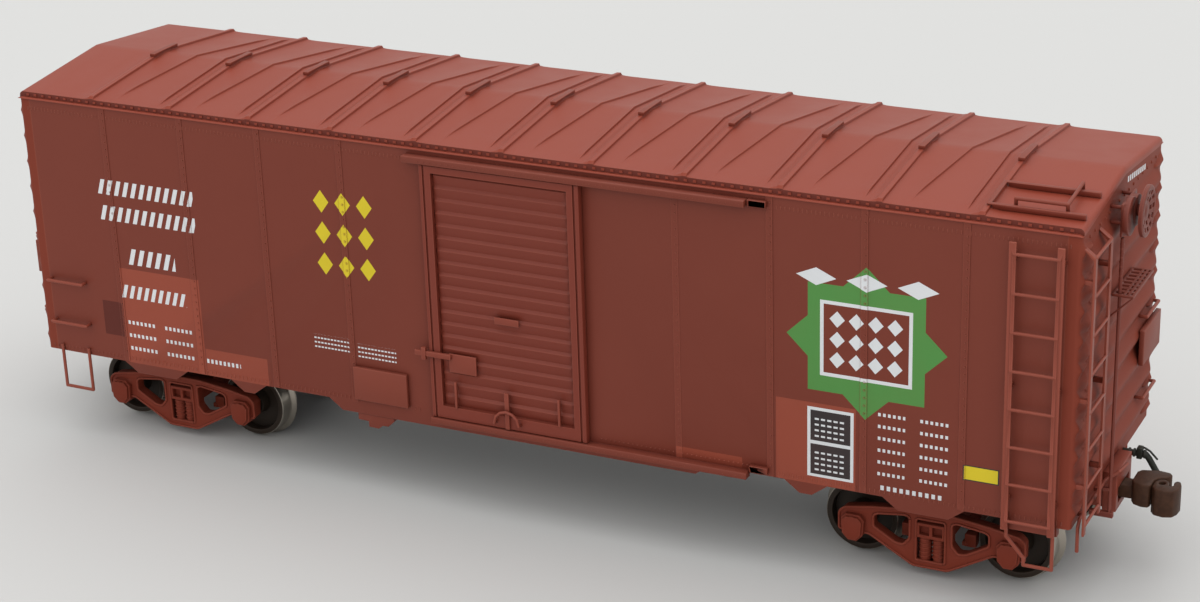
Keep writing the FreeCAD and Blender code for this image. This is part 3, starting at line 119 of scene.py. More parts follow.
room = bpy.data.worlds.new("room")
room.use_nodes = True
bpy.context.scene.world = room
room_nodes, room_links = room.node_tree.nodes, room.node_tree.links
lit = room_nodes["Background"]
lit.inputs["Color"].default_value = (1, 1, 1, 1)
lit.inputs["Strength"].default_value = ROOM_LIGHT
seen = room_nodes.new("ShaderNodeBackground")
seen.inputs["Color"].default_value = ROOM_GREY
rays = room_nodes.new("ShaderNodeLightPath")
in_view = room_nodes.new("ShaderNodeMath")
in_view.operation = "MAXIMUM"
room_links.new(rays.outputs["Is Camera Ray"], in_view.inputs[0])
room_links.new(rays.outputs["Is Glossy Ray"], in_view.inputs[1])
either = room_nodes.new("ShaderNodeMixShader")
room_links.new(in_view.outputs["Value"], either.inputs["Fac"])
room_links.new(lit.outputs["Background"], either.inputs[1])
room_links.new(seen.outputs["Background"], either.inputs[2])
room_links.new(either.outputs["Shader"], room_nodes["World Output"].inputs["Surface"])

for name, strength, width, source in LAMPS:
    lamp_data = bpy.data.lights.new(name, "SUN")
    lamp_data.energy = strength
    lamp_data.angle = math.radians(width)
    lamp = bpy.data.objects.new(name, lamp_data)
    lamp.rotation_euler = Vector(source).to_track_quat("Z", "Y").to_euler()
    bpy.context.scene.collection.objects.link(lamp)

# -------------------------------------------------------------------- roof
# One thin gabled shell of moulded plastic. Eleven welded seams cross it, with a
# slanting and a straight rib pressed into each panel between them. Below its edge
# runs a narrow ledge with a row of buttons above it.

SEAM_PITCH = 12.25
LAST_SEAM = 5               # the seams are numbered both ways from the middle
RIB_LEFT_AT, RIB_RIGHT_AT = 5.45, 10.1  # from the seam before them
PLAIN_LINES = (3.5, 6.0, 8.5)           # from the last seam towards the end
PANEL_CORNER = 0.6          # rounding of the roof's two ends
BRINK = 17.05               # from the middle of the car to the edge of the slope
BRINK_STEP = 0.03           # run of the steep drop at that edge
BRINK_RISE = 0.8            # where the slope would end, above the top of the sides
LEDGE_HIGH = 0.2            # ledge below the edge, above the top of the sides
LEDGE_ROUND = 0.18
CEILING_HALF = 16.4         # from the middle to where the underside starts to rise
SHELL = 0.9                 # thickness of the roof at its ridge
# section of a seam: distance across, height
SEAM = [(-1.4, 0.0), (-0.6, 0.22), (-0.35, 0.42), (0.2, 0.45), (0.25, 0.41),
        (0.32, 0.15), (0.8, 0.08), (1.7, 0.0)]
SEAM_TOP = 0.45
# sections of the slanting and of the straight rib: distance, height, slant
RIB_LEFT = [(-2.6, 0.0, 0.06), (-0.5, 0.14, 0.14), (-0.06, 0.25, 0.15),
            (0.0, 0.22, 0.15), (0.07, 0.03, 0.15), (1.1, 0.0, 0.13)]
RIB_RIGHT = [(-1.5, 0.0, 0.02), (-0.5, 0.12, 0.0), (-0.06, 0.27, 0.0),
             (0.0, 0.23, 0.0), (0.07, 0.02, 0.0), (0.7, 0.02, 0.0)]
# where on the slope each ends, and the length over which it fades out
SEAM_FADE, LEFT_FADE, RIGHT_FADE = (BRINK + 0.1, 0.35), (16.0, 4.0), (16.2, 2.0)
SLANT_ENDS = 14             # from the middle, where the slanting lines run straight on
BUTTON = (0.42, 0.14, 0.3)
BUTTONS_TO, BUTTON_STEP, BUTTON_UP = 71.6, 1.2, 0.5
# how far shade is painted into corners, how pale standing edges are made, and how far the
# roughness varies both ways
PAINTED_SHADE_SHARE, EDGE_PALING, SMOOTHER, ROUGHER = 0.9, 0.55, 0.08, 0.1
BUMP_SHARE, BUMP_HIGH = 0.25, 0.00002   # strength, and height in metres
BODY_RED = (0.178, 0.0345, 0.0195, 1)
BODY_LIGHT = (0.29, 0.080, 0.050, 1)
# the body's dark red: the shade painted into its corners, and the ink of a printed dark block
BODY_DARK = (0.095, 0.014, 0.008, 1)
# the roof's red: the body's red made lighter, painted light where the roof faces the lamps
ROOF_LIT_RED = (0.250, 0.040, 0.020, 1)
# a darker red for the steep drop at the roof's edge: painted shade
EAVE_SHADE_RED = (0.130, 0.021, 0.012, 1)
DUST = (0.42, 0.36, 0.32, 1)


def corners(node):
    """The lowest and highest corner of a CAD node, in millimetres."""
    low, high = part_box(node)
    return low / MM, high / MM


def node_group(name, inputs, outputs):
    """A shader node group with its sockets, and its two end nodes."""
    group = bpy.data.node_groups.new(name, "ShaderNodeTree")
    for title, kind, value in inputs:
        socket = group.interface.new_socket(title, in_out="INPUT", socket_type=kind)
        socket.default_value = value
    for title, kind in outputs:
        group.interface.new_socket(title, in_out="OUTPUT", socket_type=kind)
    return group, group.nodes.new("NodeGroupInput"), group.nodes.new("NodeGroupOutput")


def sum_node(tree, operation, first, second=0.0, clamp=False):
    """One math node on two sockets or numbers, and its output."""
    node = tree.nodes.new("ShaderNodeMath")
    node.operation = operation
    node.use_clamp = clamp
    for socket, value in zip(node.inputs, (first, second)):
        if isinstance(value, (int, float)):
            socket.default_value = value
        else:
            tree.links.new(value, socket)
    return node.outputs["Value"]


def grain_group():
    """The surface of sprayed and moulded plastic: fine grain and soft blotches."""
    group, ins, outs = node_group(
        "plastic_grain", [("Scale", "NodeSocketFloat", 9000.0)],
        [("Grain", "NodeSocketFloat"), ("Blotch", "NodeSocketFloat")])
    place = group.nodes.new("ShaderNodeTexCoord")
    for title, share, detail in (("Grain", 1.0, 3.0), ("Blotch", 0.02, 4.0)):
        noise = group.nodes.new("ShaderNodeTexNoise")
        noise.inputs["Detail"].default_value = detail
        group.links.new(place.outputs["Object"], noise.inputs["Vector"])
        size = sum_node(group, "MULTIPLY", ins.outputs["Scale"], share)
        group.links.new(size, noise.inputs["Scale"])
        group.links.new(noise.outputs["Fac"], outs.inputs[title])
    return group


def edge_group():
    """Where an edge stands out, and where a corner is hollow and takes painted shade."""
    group, ins, outs = node_group(
        "edges_and_hollows", [("Width", "NodeSocketFloat", 0.0002)],
        [("Edge", "NodeSocketFloat"), ("Hollow", "NodeSocketFloat")])
    rounded = group.nodes.new("ShaderNodeBevel")
    rounded.samples = 4
    group.links.new(ins.outputs["Width"], rounded.inputs["Radius"])
    surface = group.nodes.new("ShaderNodeNewGeometry")
    along = group.nodes.new("ShaderNodeVectorMath")
    along.operation = "DOT_PRODUCT"
    group.links.new(rounded.outputs["Normal"], along.inputs[0])
    group.links.new(surface.outputs["Normal"], along.inputs[1])
    shade = group.nodes.new("ShaderNodeAmbientOcclusion")
    shade.samples = 4
    shade.inputs["Distance"].default_value = 0.0012
    off = sum_node(group, "SUBTRACT", 1.0, along.outputs["Value"])
    open_air = sum_node(group, "POWER", shade.outputs["AO"], 3.0)
    bent = sum_node(group, "MULTIPLY", off, 9.0, clamp=True)
    group.links.new(sum_node(group, "MULTIPLY", bent, open_air), outs.inputs["Edge"])
    hollow = sum_node(group, "SUBTRACT", 1.0, shade.outputs["AO"])
    group.links.new(hollow, outs.inputs["Hollow"])
    return group


def dust_group():
    """A thin settled dust on faces that look up."""
    group, ins, outs = node_group(
        "settled_dust",
        [("Amount", "NodeSocketFloat", 0.1), ("Blotch", "NodeSocketFloat", 0.5)],
        [("Dust", "NodeSocketFloat")])
    surface = group.nodes.new("ShaderNodeNewGeometry")
    split = group.nodes.new("ShaderNodeSeparateXYZ")
    group.links.new(surface.outputs["Normal"], split.inputs["Vector"])
    up = sum_node(group, "MAXIMUM", split.outputs["Z"], 0.0)
    level = sum_node(group, "MULTIPLY", up, ins.outputs["Blotch"])
    group.links.new(sum_node(group, "MULTIPLY", level, ins.outputs["Amount"]), outs.inputs["Dust"])
    return group


grain, edges, dust = grain_group(), edge_group(), dust_group()


def mixed(tree, mask, below, above):
    """A colour socket: above laid over below where the mask says."""
    node = tree.nodes.new("ShaderNodeMix")
    node.data_type = "RGBA"
    tree.links.new(mask, node.inputs[0])
    for socket, value in ((node.inputs[6], below), (node.inputs[7], above)):
        if isinstance(value, tuple):
            socket.default_value = value
        else:
            tree.links.new(value, socket)
    return node.outputs[2]


def placed(tree, group, **values):
    """A node group in a material, with its own values."""
    node = tree.nodes.new("ShaderNodeGroup")
    node.node_tree = group
    for title, value in values.items():
        node.inputs[title].default_value = value
    return node


def painted(name, colour, light, dark, rough=0.5, dusty=0.03, shine=0.25, metal=0.0,
            mottled=0.12, scale=9000.0, printed=None):
    """Sprayed paint over moulded plastic, paler on its edges, with shade painted into its corners
    in the dark colour.
    """
    material = bpy.data.materials.new(name)
    material.use_nodes = True
    tree = material.node_tree
    shader = tree.nodes["Principled BSDF"]
    shader.inputs["Metallic"].default_value = metal
    shader.inputs["Specular IOR Level"].default_value = shine
    skin = placed(tree, grain, Scale=scale)
    edges_and_shade = placed(tree, edges)
    settled = placed(tree, dust, Amount=dusty)
    tree.links.new(skin.outputs["Blotch"], settled.inputs["Blotch"])
    base = printed(tree, colour) if printed else colour
    # painted shade: the dark colour laid into hollow corners, where less light falls
    painted_shade = sum_node(tree, "MULTIPLY", edges_and_shade.outputs["Hollow"], PAINTED_SHADE_SHARE)
    shaded = mixed(tree, painted_shade, base, dark)
    uneven = sum_node(tree, "MULTIPLY", skin.outputs["Blotch"], mottled)
    toned = mixed(tree, uneven, shaded, light)
    # paler standing edges: the light colour mixed in along convex edges
    paled_edges = mixed(tree, sum_node(tree, "MULTIPLY", edges_and_shade.outputs["Edge"], EDGE_PALING), toned, light)
    tree.links.new(mixed(tree, settled.outputs["Dust"], paled_edges, DUST), shader.inputs["Base Color"])
    gloss = tree.nodes.new("ShaderNodeMapRange")
    gloss.inputs["To Min"].default_value = rough - SMOOTHER
    gloss.inputs["To Max"].default_value = rough + ROUGHER
    tree.links.new(skin.outputs["Blotch"], gloss.inputs["Value"])
    tree.links.new(gloss.outputs["Result"], shader.inputs["Roughness"])
    bump = tree.nodes.new("ShaderNodeBump")
    bump.inputs["Strength"].default_value = BUMP_SHARE
    bump.inputs["Distance"].default_value = BUMP_HIGH
    tree.links.new(skin.outputs["Grain"], bump.inputs["Height"])
    tree.links.new(bump.outputs["Normal"], shader.inputs["Normal"])
    return material


def spaced(low, high, step):
    """Even places from low to high, about a step apart."""
    count = max(1, round(abs(high - low) / step))
    return [low + (high - low) * number / count for number in range(count + 1)]


def both_ways(places):
    """Places from the middle outwards, and the same on the other side."""
    return [-place for place in reversed(places) if place > 0] + places


def ruled_sheet(across, along, shape):
    """A sheet with a row of points at each place, each point put where shape says."""
    bm = bmesh.new()
    bmesh.ops.create_grid(bm, x_segments=len(across) - 1, y_segments=len(along) - 1, size=1)
    for vert in bm.verts:
        column = round((vert.co.x + 1) / 2 * (len(across) - 1))
        row = round((vert.co.y + 1) / 2 * (len(along) - 1))
        vert.co = shape(across[column], along[row])
    return bm


def block(bm, size, middle):
    """Add a block of this size, and give its points."""
    made = bmesh.ops.create_cube(bm, size=1)["verts"]
    bmesh.ops.scale(bm, vec=size, verts=made)
    bmesh.ops.translate(bm, vec=middle, verts=made)
    return made


def finished(name, bm, material, body, slot, *stands_for, sharp=35):
    """The mesh as one piece in metres, on its body, in place of its CAD nodes."""
    bmesh.ops.scale(bm, vec=(MM, MM, MM), verts=bm.verts)
    bmesh.ops.recalc_face_normals(bm, faces=bm.faces)
    mesh = bpy.data.meshes.new(name)
    bm.to_mesh(mesh)
    bm.free()
    for paint in material if isinstance(material, list) else [material]:
        mesh.materials.append(paint)
    mesh.polygons.foreach_set("use_smooth", [True] * len(mesh.polygons))
    mesh.set_sharp_from_angle(angle=math.radians(sharp))
    piece = bpy.data.objects.new(name, mesh)
    bpy.context.scene.collection.objects.link(piece)
    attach(piece, body)
    if stands_for:
        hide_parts(*stands_for)


def each_once(items):
    """The items in their own order, each once."""
    return list(dict.fromkeys(items))


def closed_with(bm, flatten, folds=()):
    """Give an open sheet a back, put in place by flatten and folded at some y."""
    rim = [edge for edge in bm.edges if edge.is_boundary]
    made = bmesh.ops.extrude_edge_only(bm, edges=rim)["geom"]
    for vert in made:
        if isinstance(vert, bmesh.types.BMVert):
            vert.co = flatten(vert.co)
    outer = [edge for edge in made
             if isinstance(edge, bmesh.types.BMEdge) and edge.is_boundary]
    back = bmesh.ops.contextual_create(bm, geom=outer)["faces"]
    for y in folds:
        around = back + each_once(edge for face in back for edge in face.edges)
        around += each_once(vert for face in back for vert in face.verts)
        cut = bmesh.ops.bisect_plane(bm, geom=around, plane_co=(0, y, 0), plane_no=(0, 1, 0))
        back = [item for item in cut["geom"] if isinstance(item, bmesh.types.BMFace)]


roof_low, roof_high = corners("roof")
wall_top = roof_low.z
roof_half = roof_high.y
ridge = roof_high.z - SEAM_TOP
fall = (ridge - wall_top - BRINK_RISE) / roof_half


def ramp(value):
    """The value, kept from 0 to 1."""
    return max(0.0, min(1.0, value))


def round_to(limit, radius, angles):
    """Places round a corner of this radius that ends at the limit."""
    return [limit - radius * (1 - math.sin(math.radians(angle))) for angle in angles]


def round_drop(past, radius):
    """How far a rounded edge has dropped, this far past the start of the rounding."""
    return radius - math.sqrt(max(0, radius ** 2 - past ** 2))


def roof_columns():
    """Lines from eave to eave: place along, height, slant and where it fades out."""
    columns = []
    for number in range(-LAST_SEAM, LAST_SEAM + 1):
        at = number * SEAM_PITCH
        columns += [(at + off, rise, 0.0, SEAM_FADE) for off, rise in SEAM]
        if number < LAST_SEAM:
            columns += [(at + RIB_LEFT_AT + off, rise, slant, LEFT_FADE)
                        for off, rise, slant in RIB_LEFT]
            columns += [(at + RIB_RIGHT_AT + off, rise, slant, RIGHT_FADE)
                        for off, rise, slant in RIB_RIGHT]
    plain = [LAST_SEAM * SEAM_PITCH + step for step in PLAIN_LINES]
    plain += round_to(roof_high.x, PANEL_CORNER, (0, 20, 40, 60, 75, 90))
    return sorted(columns + [(way * at, 0.0, 0.0, (1, 1)) for at in plain for way in (-1, 1)])


def roof_point(column, y):
    """One point of the roof's upper face."""
    at, rise, slant, (ends, fades) = column
    out = abs(y)
    high = ridge - fall * min(out, BRINK) + rise * ramp((ends - out) / fades)
    if out > BRINK:
        high = wall_top + LEDGE_HIGH
    if out > roof_half - LEDGE_ROUND:
        high -= round_drop(out - roof_half + LEDGE_ROUND, LEDGE_ROUND)
    past = abs(at) - (roof_high.x - PANEL_CORNER)
    if past > 0:
        high -= min(round_drop(past, PANEL_CORNER), high - wall_top - 0.02)
    return Vector((at + slant * max(-SLANT_ENDS, min(SLANT_ENDS, y)), y, high))


def ceiling(point):
    """The roof's underside, level over the walls and rising to the ridge between them."""
    rise = max(0, 1 - abs(point.y) / CEILING_HALF) * (ridge - SHELL - wall_top)
    return Vector((point.x, point.y, wall_top + rise))


roof_lines = both_ways(spaced(0, 16.6, 0.85) + [16.8, BRINK, BRINK + BRINK_STEP, 17.25]
                       + round_to(roof_half, LEDGE_ROUND, (0, 30, 60, 90)))
# the roof's paint carries painted light: it is lighter than the body's red
roof_red = painted("roof_red", ROOF_LIT_RED, BODY_LIGHT, BODY_DARK, rough=0.45, dusty=0.015,
                   shine=0.24)
eave_shade_red = painted("eave_shade_red", EAVE_SHADE_RED, BODY_LIGHT, BODY_DARK, dusty=0.0)

roof_shell = ruled_sheet(roof_columns(), roof_lines, roof_point)
closed_with(roof_shell, ceiling, folds=(-CEILING_HALF, 0, CEILING_HALF))
# the steep drop at the slope's edge takes the darker red: painted shade
for face in roof_shell.faces:
    if BRINK < abs(face.calc_center_median().y) < BRINK + BRINK_STEP:
        face.material_index = 1
finished("roof_shell", roof_shell, [roof_red, eave_shade_red], "car", "roof_red", "roof", sharp=28)

buttons = bmesh.new()
for side in (-1, 1):
    for x in spaced(-BUTTONS_TO, BUTTONS_TO, BUTTON_STEP):
        block(buttons, BUTTON, (x, side * (BRINK + 0.05), wall_top + BUTTON_UP))
finished("roof_edge_buttons", buttons, roof_red, "car", "roof_red")

# --------------------------------------------- saddles and roof corner rails
# Level blocks across the ridge that once carried a running board, and on one
# corner of the roof two moulded rails with a wire grab iron.

WELD = 0.002                # points nearer than this are one
FLAT, STANDING = 0.6, 38    # degrees: faces made one, and edges that are rounded


def merged(node):
    """A merged copy of a CAD node's mesh, in millimetres and with its flat faces whole."""
    bm = bmesh.new()
    bm.from_mesh(frame["nodes"][node].data)
    bmesh.ops.scale(bm, vec=(1 / MM, 1 / MM, 1 / MM), verts=bm.verts)
    bmesh.ops.remove_doubles(bm, verts=bm.verts, dist=WELD)
    bmesh.ops.dissolve_limit(bm, angle_limit=math.radians(FLAT), verts=bm.verts, edges=bm.edges)
    return bm


def softened(bm, width, chosen=None):
    """The mesh with its standing edges, or the chosen ones of them, rounded."""
    standing = [edge for edge in bm.edges
                if len(edge.link_faces) == 2 and edge.is_convex
                and edge.calc_face_angle() > math.radians(STANDING)
                and (chosen is None or chosen(edge))]
    bmesh.ops.bevel(bm, geom=standing, offset=width, offset_type="OFFSET", affect="EDGES",
                    segments=2, profile=0.5, material=-1, clamp_overlap=False)
    return bm


def recast(node, material, slot, width):
    """One CAD node with its edges rounded as a moulding's are."""
    finished(f"{node}_cast", softened(merged(node), width), material,
             frame["nodes"][node]["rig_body"], slot, node)


fitting_red = painted("fitting_red", (0.215, 0.042, 0.024, 1), (0.36, 0.105, 0.07, 1), BODY_DARK,
                      rough=0.42)
rail_red = painted("rail_red", (0.20, 0.036, 0.020, 1), BODY_LIGHT, BODY_DARK, rough=0.45)
recast("running_board_saddles", rail_red, "roof_red", 0.04)
recast("roof_corner_rails", rail_red, "roof_red", 0.08)

# --------------------------------------------------------------------- ends
# Pressed end sheets. Nine wide ribs cross each end like a wave, and small darts
# fill the valleys near the corner posts. The corner posts are rounded.

RIBS = 9
RIB_PITCH = 3.63
RIB_OUT = 0.65              # how far a rib stands out
RIB_FADE = 1.9              # length of a rib's pointed end
RIB_DOWN = 3.75             # from the top of the sides to the middle of the top rib
DART_OUT = 0.45             # how far a dart stands out
DART_LONG, DART_HALF = 3.4, 1.05
CORNER_ROUND = 0.5
CORNER_POST = 0.45          # width that the ribs leave free at the corner
BOLT = (0.22, 0.15, 0.16)   # radius at the foot and at the tip, length
BOLTS_TO, BOLT_STEP, BOLT_DOWN = 14.5, 2.07, 0.9
DASH = (0.03, 0.5, 0.7)
DASHES_FROM, DASHES_TO, DASH_STEP = 1.6, 9.2, 0.95
DASH_UP, DASH_FALL = 0.75, 0.13         # height at the middle, and fall of the row

wall_low, wall_high = corners("end_wall_front")
rib_first = wall_top - RIB_DOWN - (RIBS - 1) * RIB_PITCH
rib_last = wall_top - RIB_DOWN
sheet_out = wall_high.x - RIB_OUT
wall_half = wall_high.y
rib_tip = wall_half - CORNER_POST


def hump(distance, half):
    """A round-shouldered rise from 0 at half to 1 in the middle."""
    return 0.5 + 0.5 * math.cos(math.pi * min(1, abs(distance) / half))


def end_point(y, z):
    """The end sheet's outer face: waves that fade out before the corner posts."""
    far = abs(y)
    out = sheet_out
    number = round((z - rib_first) / RIB_PITCH)
    if 0 <= number < RIBS:
        # a rib narrows and flattens towards its pointed end
        away = abs(z - rib_first - number * RIB_PITCH)
        reach = ramp((rib_tip - far) / RIB_FADE) ** 0.8
        half = RIB_PITCH / 2 * (0.35 + 0.65 * reach)
        out += RIB_OUT * reach * hump(away, half) ** 0.9
    if rib_first - RIB_PITCH < z < rib_last + RIB_PITCH and far > rib_tip - DART_LONG:
        valley = abs(((z - rib_first) / RIB_PITCH) % 1 - 0.5) * RIB_PITCH
        wide = DART_HALF * ramp((far - rib_tip + DART_LONG) / DART_LONG)
        if wide > 0.05:
            out += DART_OUT * ramp(1 - valley / wide) * ramp((rib_tip + 0.3 - far) / 0.4)
    if far > wall_half - CORNER_ROUND:
        out -= round_drop(far - wall_half + CORNER_ROUND, CORNER_ROUND)
    if z > wall_top - 0.01:
        gable = (wall_high.z - wall_top) * (1 - far / (wall_half - 1))
        z = max(wall_top, wall_top + gable)
    return Vector((out, y, z))


def peg(bm, shape, middle, axis, sides=6, stretch=1.0):
    """Add a tapered peg, given its foot and tip radius and length, laid over about an axis."""
    foot, tip, length = shape
    made = bmesh.ops.create_cone(bm, cap_ends=True, segments=sides, radius1=foot, radius2=tip,
                                 depth=length)["verts"]
    bmesh.ops.rotate(bm, cent=(0, 0, 0), matrix=Matrix.Rotation(math.pi / 2, 3, axis), verts=made)
    bmesh.ops.scale(bm, vec=(1, 1, stretch), verts=made)
    bmesh.ops.translate(bm, vec=middle, verts=made)


def half_turned(bm):
    """Turn a mesh half round the upright axis, to the left side or the rear end."""
    bmesh.ops.rotate(bm, cent=(0, 0, 0), matrix=Matrix.Rotation(math.pi, 3, "Z"), verts=bm.verts)


end_lines = both_ways(spaced(0, 12.2, 0.6) + spaced(12.4, wall_half - CORNER_ROUND, 0.18)
                      + round_to(wall_half, CORNER_ROUND, (20, 40, 60, 80, 90)))
body_red = painted("body_red", BODY_RED, BODY_LIGHT, BODY_DARK, rough=0.48)
# the end sheets' paint is the body's red made a little lighter, painted light on the ends, and
# less glossy
end_lit_red = painted("end_lit_red", (0.205, 0.038, 0.021, 1), BODY_LIGHT, BODY_DARK, rough=0.55,
                  shine=0.12)
mark_white = painted("mark_white", (0.74, 0.77, 0.79, 1), (0.85, 0.87, 0.88, 1),
                     (0.45, 0.42, 0.42, 1))

for end in ("front", "rear"):
    sheet = ruled_sheet(end_lines, spaced(wall_low.z, wall_top - 0.4, 0.16) + [wall_top],
                        end_point)
    closed_with(sheet, lambda point: Vector((wall_low.x, point.y, point.z)))
    # bolts along the top of the sheet
    for y in spaced(-BOLTS_TO, BOLTS_TO, BOLT_STEP):
        peg(sheet, BOLT, (sheet_out + 0.06, y, wall_top - BOLT_DOWN), "Y", 8)
    if end == "rear":
        half_turned(sheet)
    finished(f"end_sheet_{end}", sheet, end_lit_red, "car", "body_red", f"end_wall_{end}")

# a short row of painted dashes along the brake end's top
dashes = bmesh.new()
for y in spaced(DASHES_FROM, DASHES_TO, DASH_STEP):
    block(dashes, DASH, (sheet_out + 0.01, y, wall_top + DASH_UP - DASH_FALL * y))
finished("end_dashes", dashes, mark_white, "car", "body_red")

# -------------------------------------------------------------------- sides
# Thin moulded side walls with riveted seams and sill. The markings are printed:
# paler repainted patches, a black panel, rows of plain white dashes and two
# generic ornaments, a yellow lattice and a green star.

POSTS = (-59.6, -47.35, -35.45, -23.25, 23.25, 35.45, 47.35, 59.6)
SEAM_HALF = 0.45            # half the width of the seam over each post
SEAM_STANDS, HEAD_STANDS = 0.09, 0.21   # how far the seam and its rivets stand out
DOOR_POST = 23.25           # the door slides over this post's seam, so it is lower
DOOR_SEAM_STANDS, DOOR_HEAD_STANDS = 0.05, 0.13
RIVET = 0.15                # radius of the seams' rivets
SMALL_RIVET, LONG_RIVET = 0.12, 2.6     # radius, and how far some are drawn out upwards
RIVET_TIP = 0.55            # share of a rivet's radius at its tip
SILL_ROW, TRACK_ROW, TOP_ROW = 0.62, 1.05, 1.3      # from the sill, and from the roof
DOORWAY = 13.4              # from the middle to where the sill's row starts
TRACK_FROM, TRACK_TO = 12, 36           # where the lower track hides the sill
WALL_SKIN = 0.3             # depth under the outer face that still takes print
PATCH_RED = (0.300, 0.062, 0.034, 1)
PRINT_WHITE = (0.74, 0.77, 0.79, 1)
PRINT_BLACK = (0.028, 0.028, 0.030, 1)
PRINT_GREEN = (0.075, 0.275, 0.062, 1)
PRINT_YELLOW = (0.72, 0.58, 0.022, 1)

side_low, side_high = corners("side_wall_right")
sill = wall_low.z

# kind, colour, middle along the car and height above the sill, half width and
# half height, then the pattern's step along and up, and the share it fills, which
# is halved upwards in a row
MARKS = [
    ("block", PATCH_RED, (-52.95, 6.9), (6.35, 6.95), (1, 1), 2),
    ("block", PATCH_RED, (-41.6, 2.0), (4.9, 1.95), (1, 1), 2),
    ("block", PATCH_RED, (41.3, 5.5), (5.1, 5.4), (1, 1), 2),
    ("block", PATCH_RED, (27.3, 1.05), (4.4, 0.9), (1, 1), 2),
    ("block", BODY_DARK, (-61.2, 6.15), (1.6, 2.5), (1, 1), 2),
    ("block", PRINT_WHITE, (43.2, 5.75), (2.95, 4.6), (1, 1), 2),
    ("block", PRINT_BLACK, (43.2, 7.95), (2.55, 2.0), (1, 1), 2),
    ("block", PRINT_BLACK, (43.2, 3.5), (2.55, 2.0), (1, 1), 2),
    ("row", PRINT_WHITE, (43.2, 7.95), (2.0, 1.5), (0.8, 0.75), 0.66),
    ("row", PRINT_WHITE, (43.2, 3.5), (2.0, 1.5), (0.8, 0.75), 0.66),
    ("hatch", PRINT_WHITE, (-53.9, 25.3), (7.65, 1.05), (1.3, 2.1), 0.5),
    ("hatch", PRINT_WHITE, (-53.9, 21.6), (7.65, 1.05), (1.3, 2.1), 0.5),
    ("hatch", PRINT_WHITE, (-53.9, 15.7), (3.8, 1.15), (1.4, 2.3), 0.5),
    ("hatch", PRINT_WHITE, (-54.1, 10.5), (5.25, 0.95), (1.16, 1.9), 0.5),
    ("row", PRINT_WHITE, (-43.7, 2.2), (2.7, 0.3), (0.66, 9), 0.55),
    ("row", PRINT_WHITE, (-56.6, 4.1), (2.2, 2.2), (0.66, 1.9), 0.55),
    ("row", PRINT_WHITE, (-50.6, 4.1), (2.2, 2.2), (0.66, 1.9), 0.55),
    ("row", PRINT_WHITE, (-26.2, 8.0), (2.75, 0.95), (0.5, 0.63), 0.68),
    ("row", PRINT_WHITE, (-19.5, 7.6), (2.85, 0.95), (0.5, 0.63), 0.68),
    ("row", PRINT_WHITE, (50.9, 6.9), (1.7, 4.1), (0.62, 1.55), 0.55),
    ("row", PRINT_WHITE, (56.2, 6.9), (1.75, 4.1), (0.62, 1.55), 0.55),
    ("row", PRINT_WHITE, (53.6, 1.2), (4.0, 0.3), (0.8, 9), 0.55),
    ("block", PRINT_BLACK, (62.0, 5.15), (2.2, 1.0), (1, 1), 2),
    ("block", PRINT_YELLOW, (62.0, 5.15), (2.05, 0.86), (1, 1), 2),
    ("lattice", PRINT_YELLOW, (-23.2, 23.4), (4.8, 6.4), (3.2, 4.27), 0.36),
    ("block", PRINT_GREEN, (47.6, 19.5), (7.3, 6.9), (1, 1), 2),
    ("lattice", PRINT_GREEN, (47.6, 19.5), (10.0, 9.7), (20.0, 19.4), 0.5),
    ("lattice", PRINT_WHITE, (47.65, 27.2), (9.45, 1.4), (6.3, 2.8), 0.4),
    ("block", PRINT_WHITE, (47.6, 19.5), (5.75, 4.85), (1, 1), 2),
    ("block", BODY_RED, (47.6, 19.5), (5.3, 4.4), (1, 1), 2),
    ("lattice", PRINT_WHITE, (47.6, 19.5), (4.8, 3.9), (2.4, 2.6), 0.4),
]


def mark_group(kind):
    """The mask of one printed mark: a block, a row, a slanting hatch or a lattice."""
    group, ins, outs = node_group(
        f"printed_{kind}",
        [("Place", "NodeSocketVector", (0, 0, 0)), ("Middle", "NodeSocketVector", (0, 0, 0)),
         ("Half", "NodeSocketVector", (1, 1, 1)), ("Step", "NodeSocketVector", (1, 1, 1)),
         ("Share", "NodeSocketFloat", 1.0)],
        [("Mask", "NodeSocketFloat")])

    def vector(operation, first, second=None):
        node = group.nodes.new("ShaderNodeVectorMath")
        node.operation = operation
        group.links.new(first, node.inputs[0])
        if second is not None:
            group.links.new(second, node.inputs[1])
        return node.outputs["Vector"]

    def parts(socket):
        node = group.nodes.new("ShaderNodeSeparateXYZ")
        group.links.new(socket, node.inputs["Vector"])
        return node.outputs["X"], node.outputs["Z"]

    local = vector("SUBTRACT", ins.outputs["Place"], ins.outputs["Middle"])
    along, up = parts(vector("SUBTRACT", vector("ABSOLUTE", local), ins.outputs["Half"]))
    inside = sum_node(group, "LESS_THAN", sum_node(group, "MAXIMUM", along, up), 0.0)
    if kind != "block":
        from_edge = vector("ADD", local, ins.outputs["Half"])
        cell = vector("DIVIDE", from_edge, ins.outputs["Step"])
        across, high = parts(vector("FRACTION", cell))
        if kind == "row":
            filled = sum_node(group, "MULTIPLY",
                              sum_node(group, "LESS_THAN", across, ins.outputs["Share"]),
                              sum_node(group, "LESS_THAN", high,
                                       sum_node(group, "MULTIPLY", ins.outputs["Share"], 0.5)))
        elif kind == "lattice":
            reach = [sum_node(group, "ABSOLUTE", sum_node(group, "SUBTRACT", way, 0.5))
                     for way in (across, high)]
            filled = sum_node(group, "LESS_THAN", sum_node(group, "ADD", *reach),
                              ins.outputs["Share"])
        else:
            along, up = parts(cell)
            leaning = sum_node(group, "SUBTRACT", along, sum_node(group, "MULTIPLY", up, 0.5))
            filled = sum_node(group, "LESS_THAN", sum_node(group, "FRACT", leaning),
                              ins.outputs["Share"])
        inside = sum_node(group, "MULTIPLY", inside, filled)
    group.links.new(inside, outs.inputs["Mask"])
    return group


mark_groups = {kind: mark_group(kind) for kind in ("block", "row", "hatch", "lattice")}


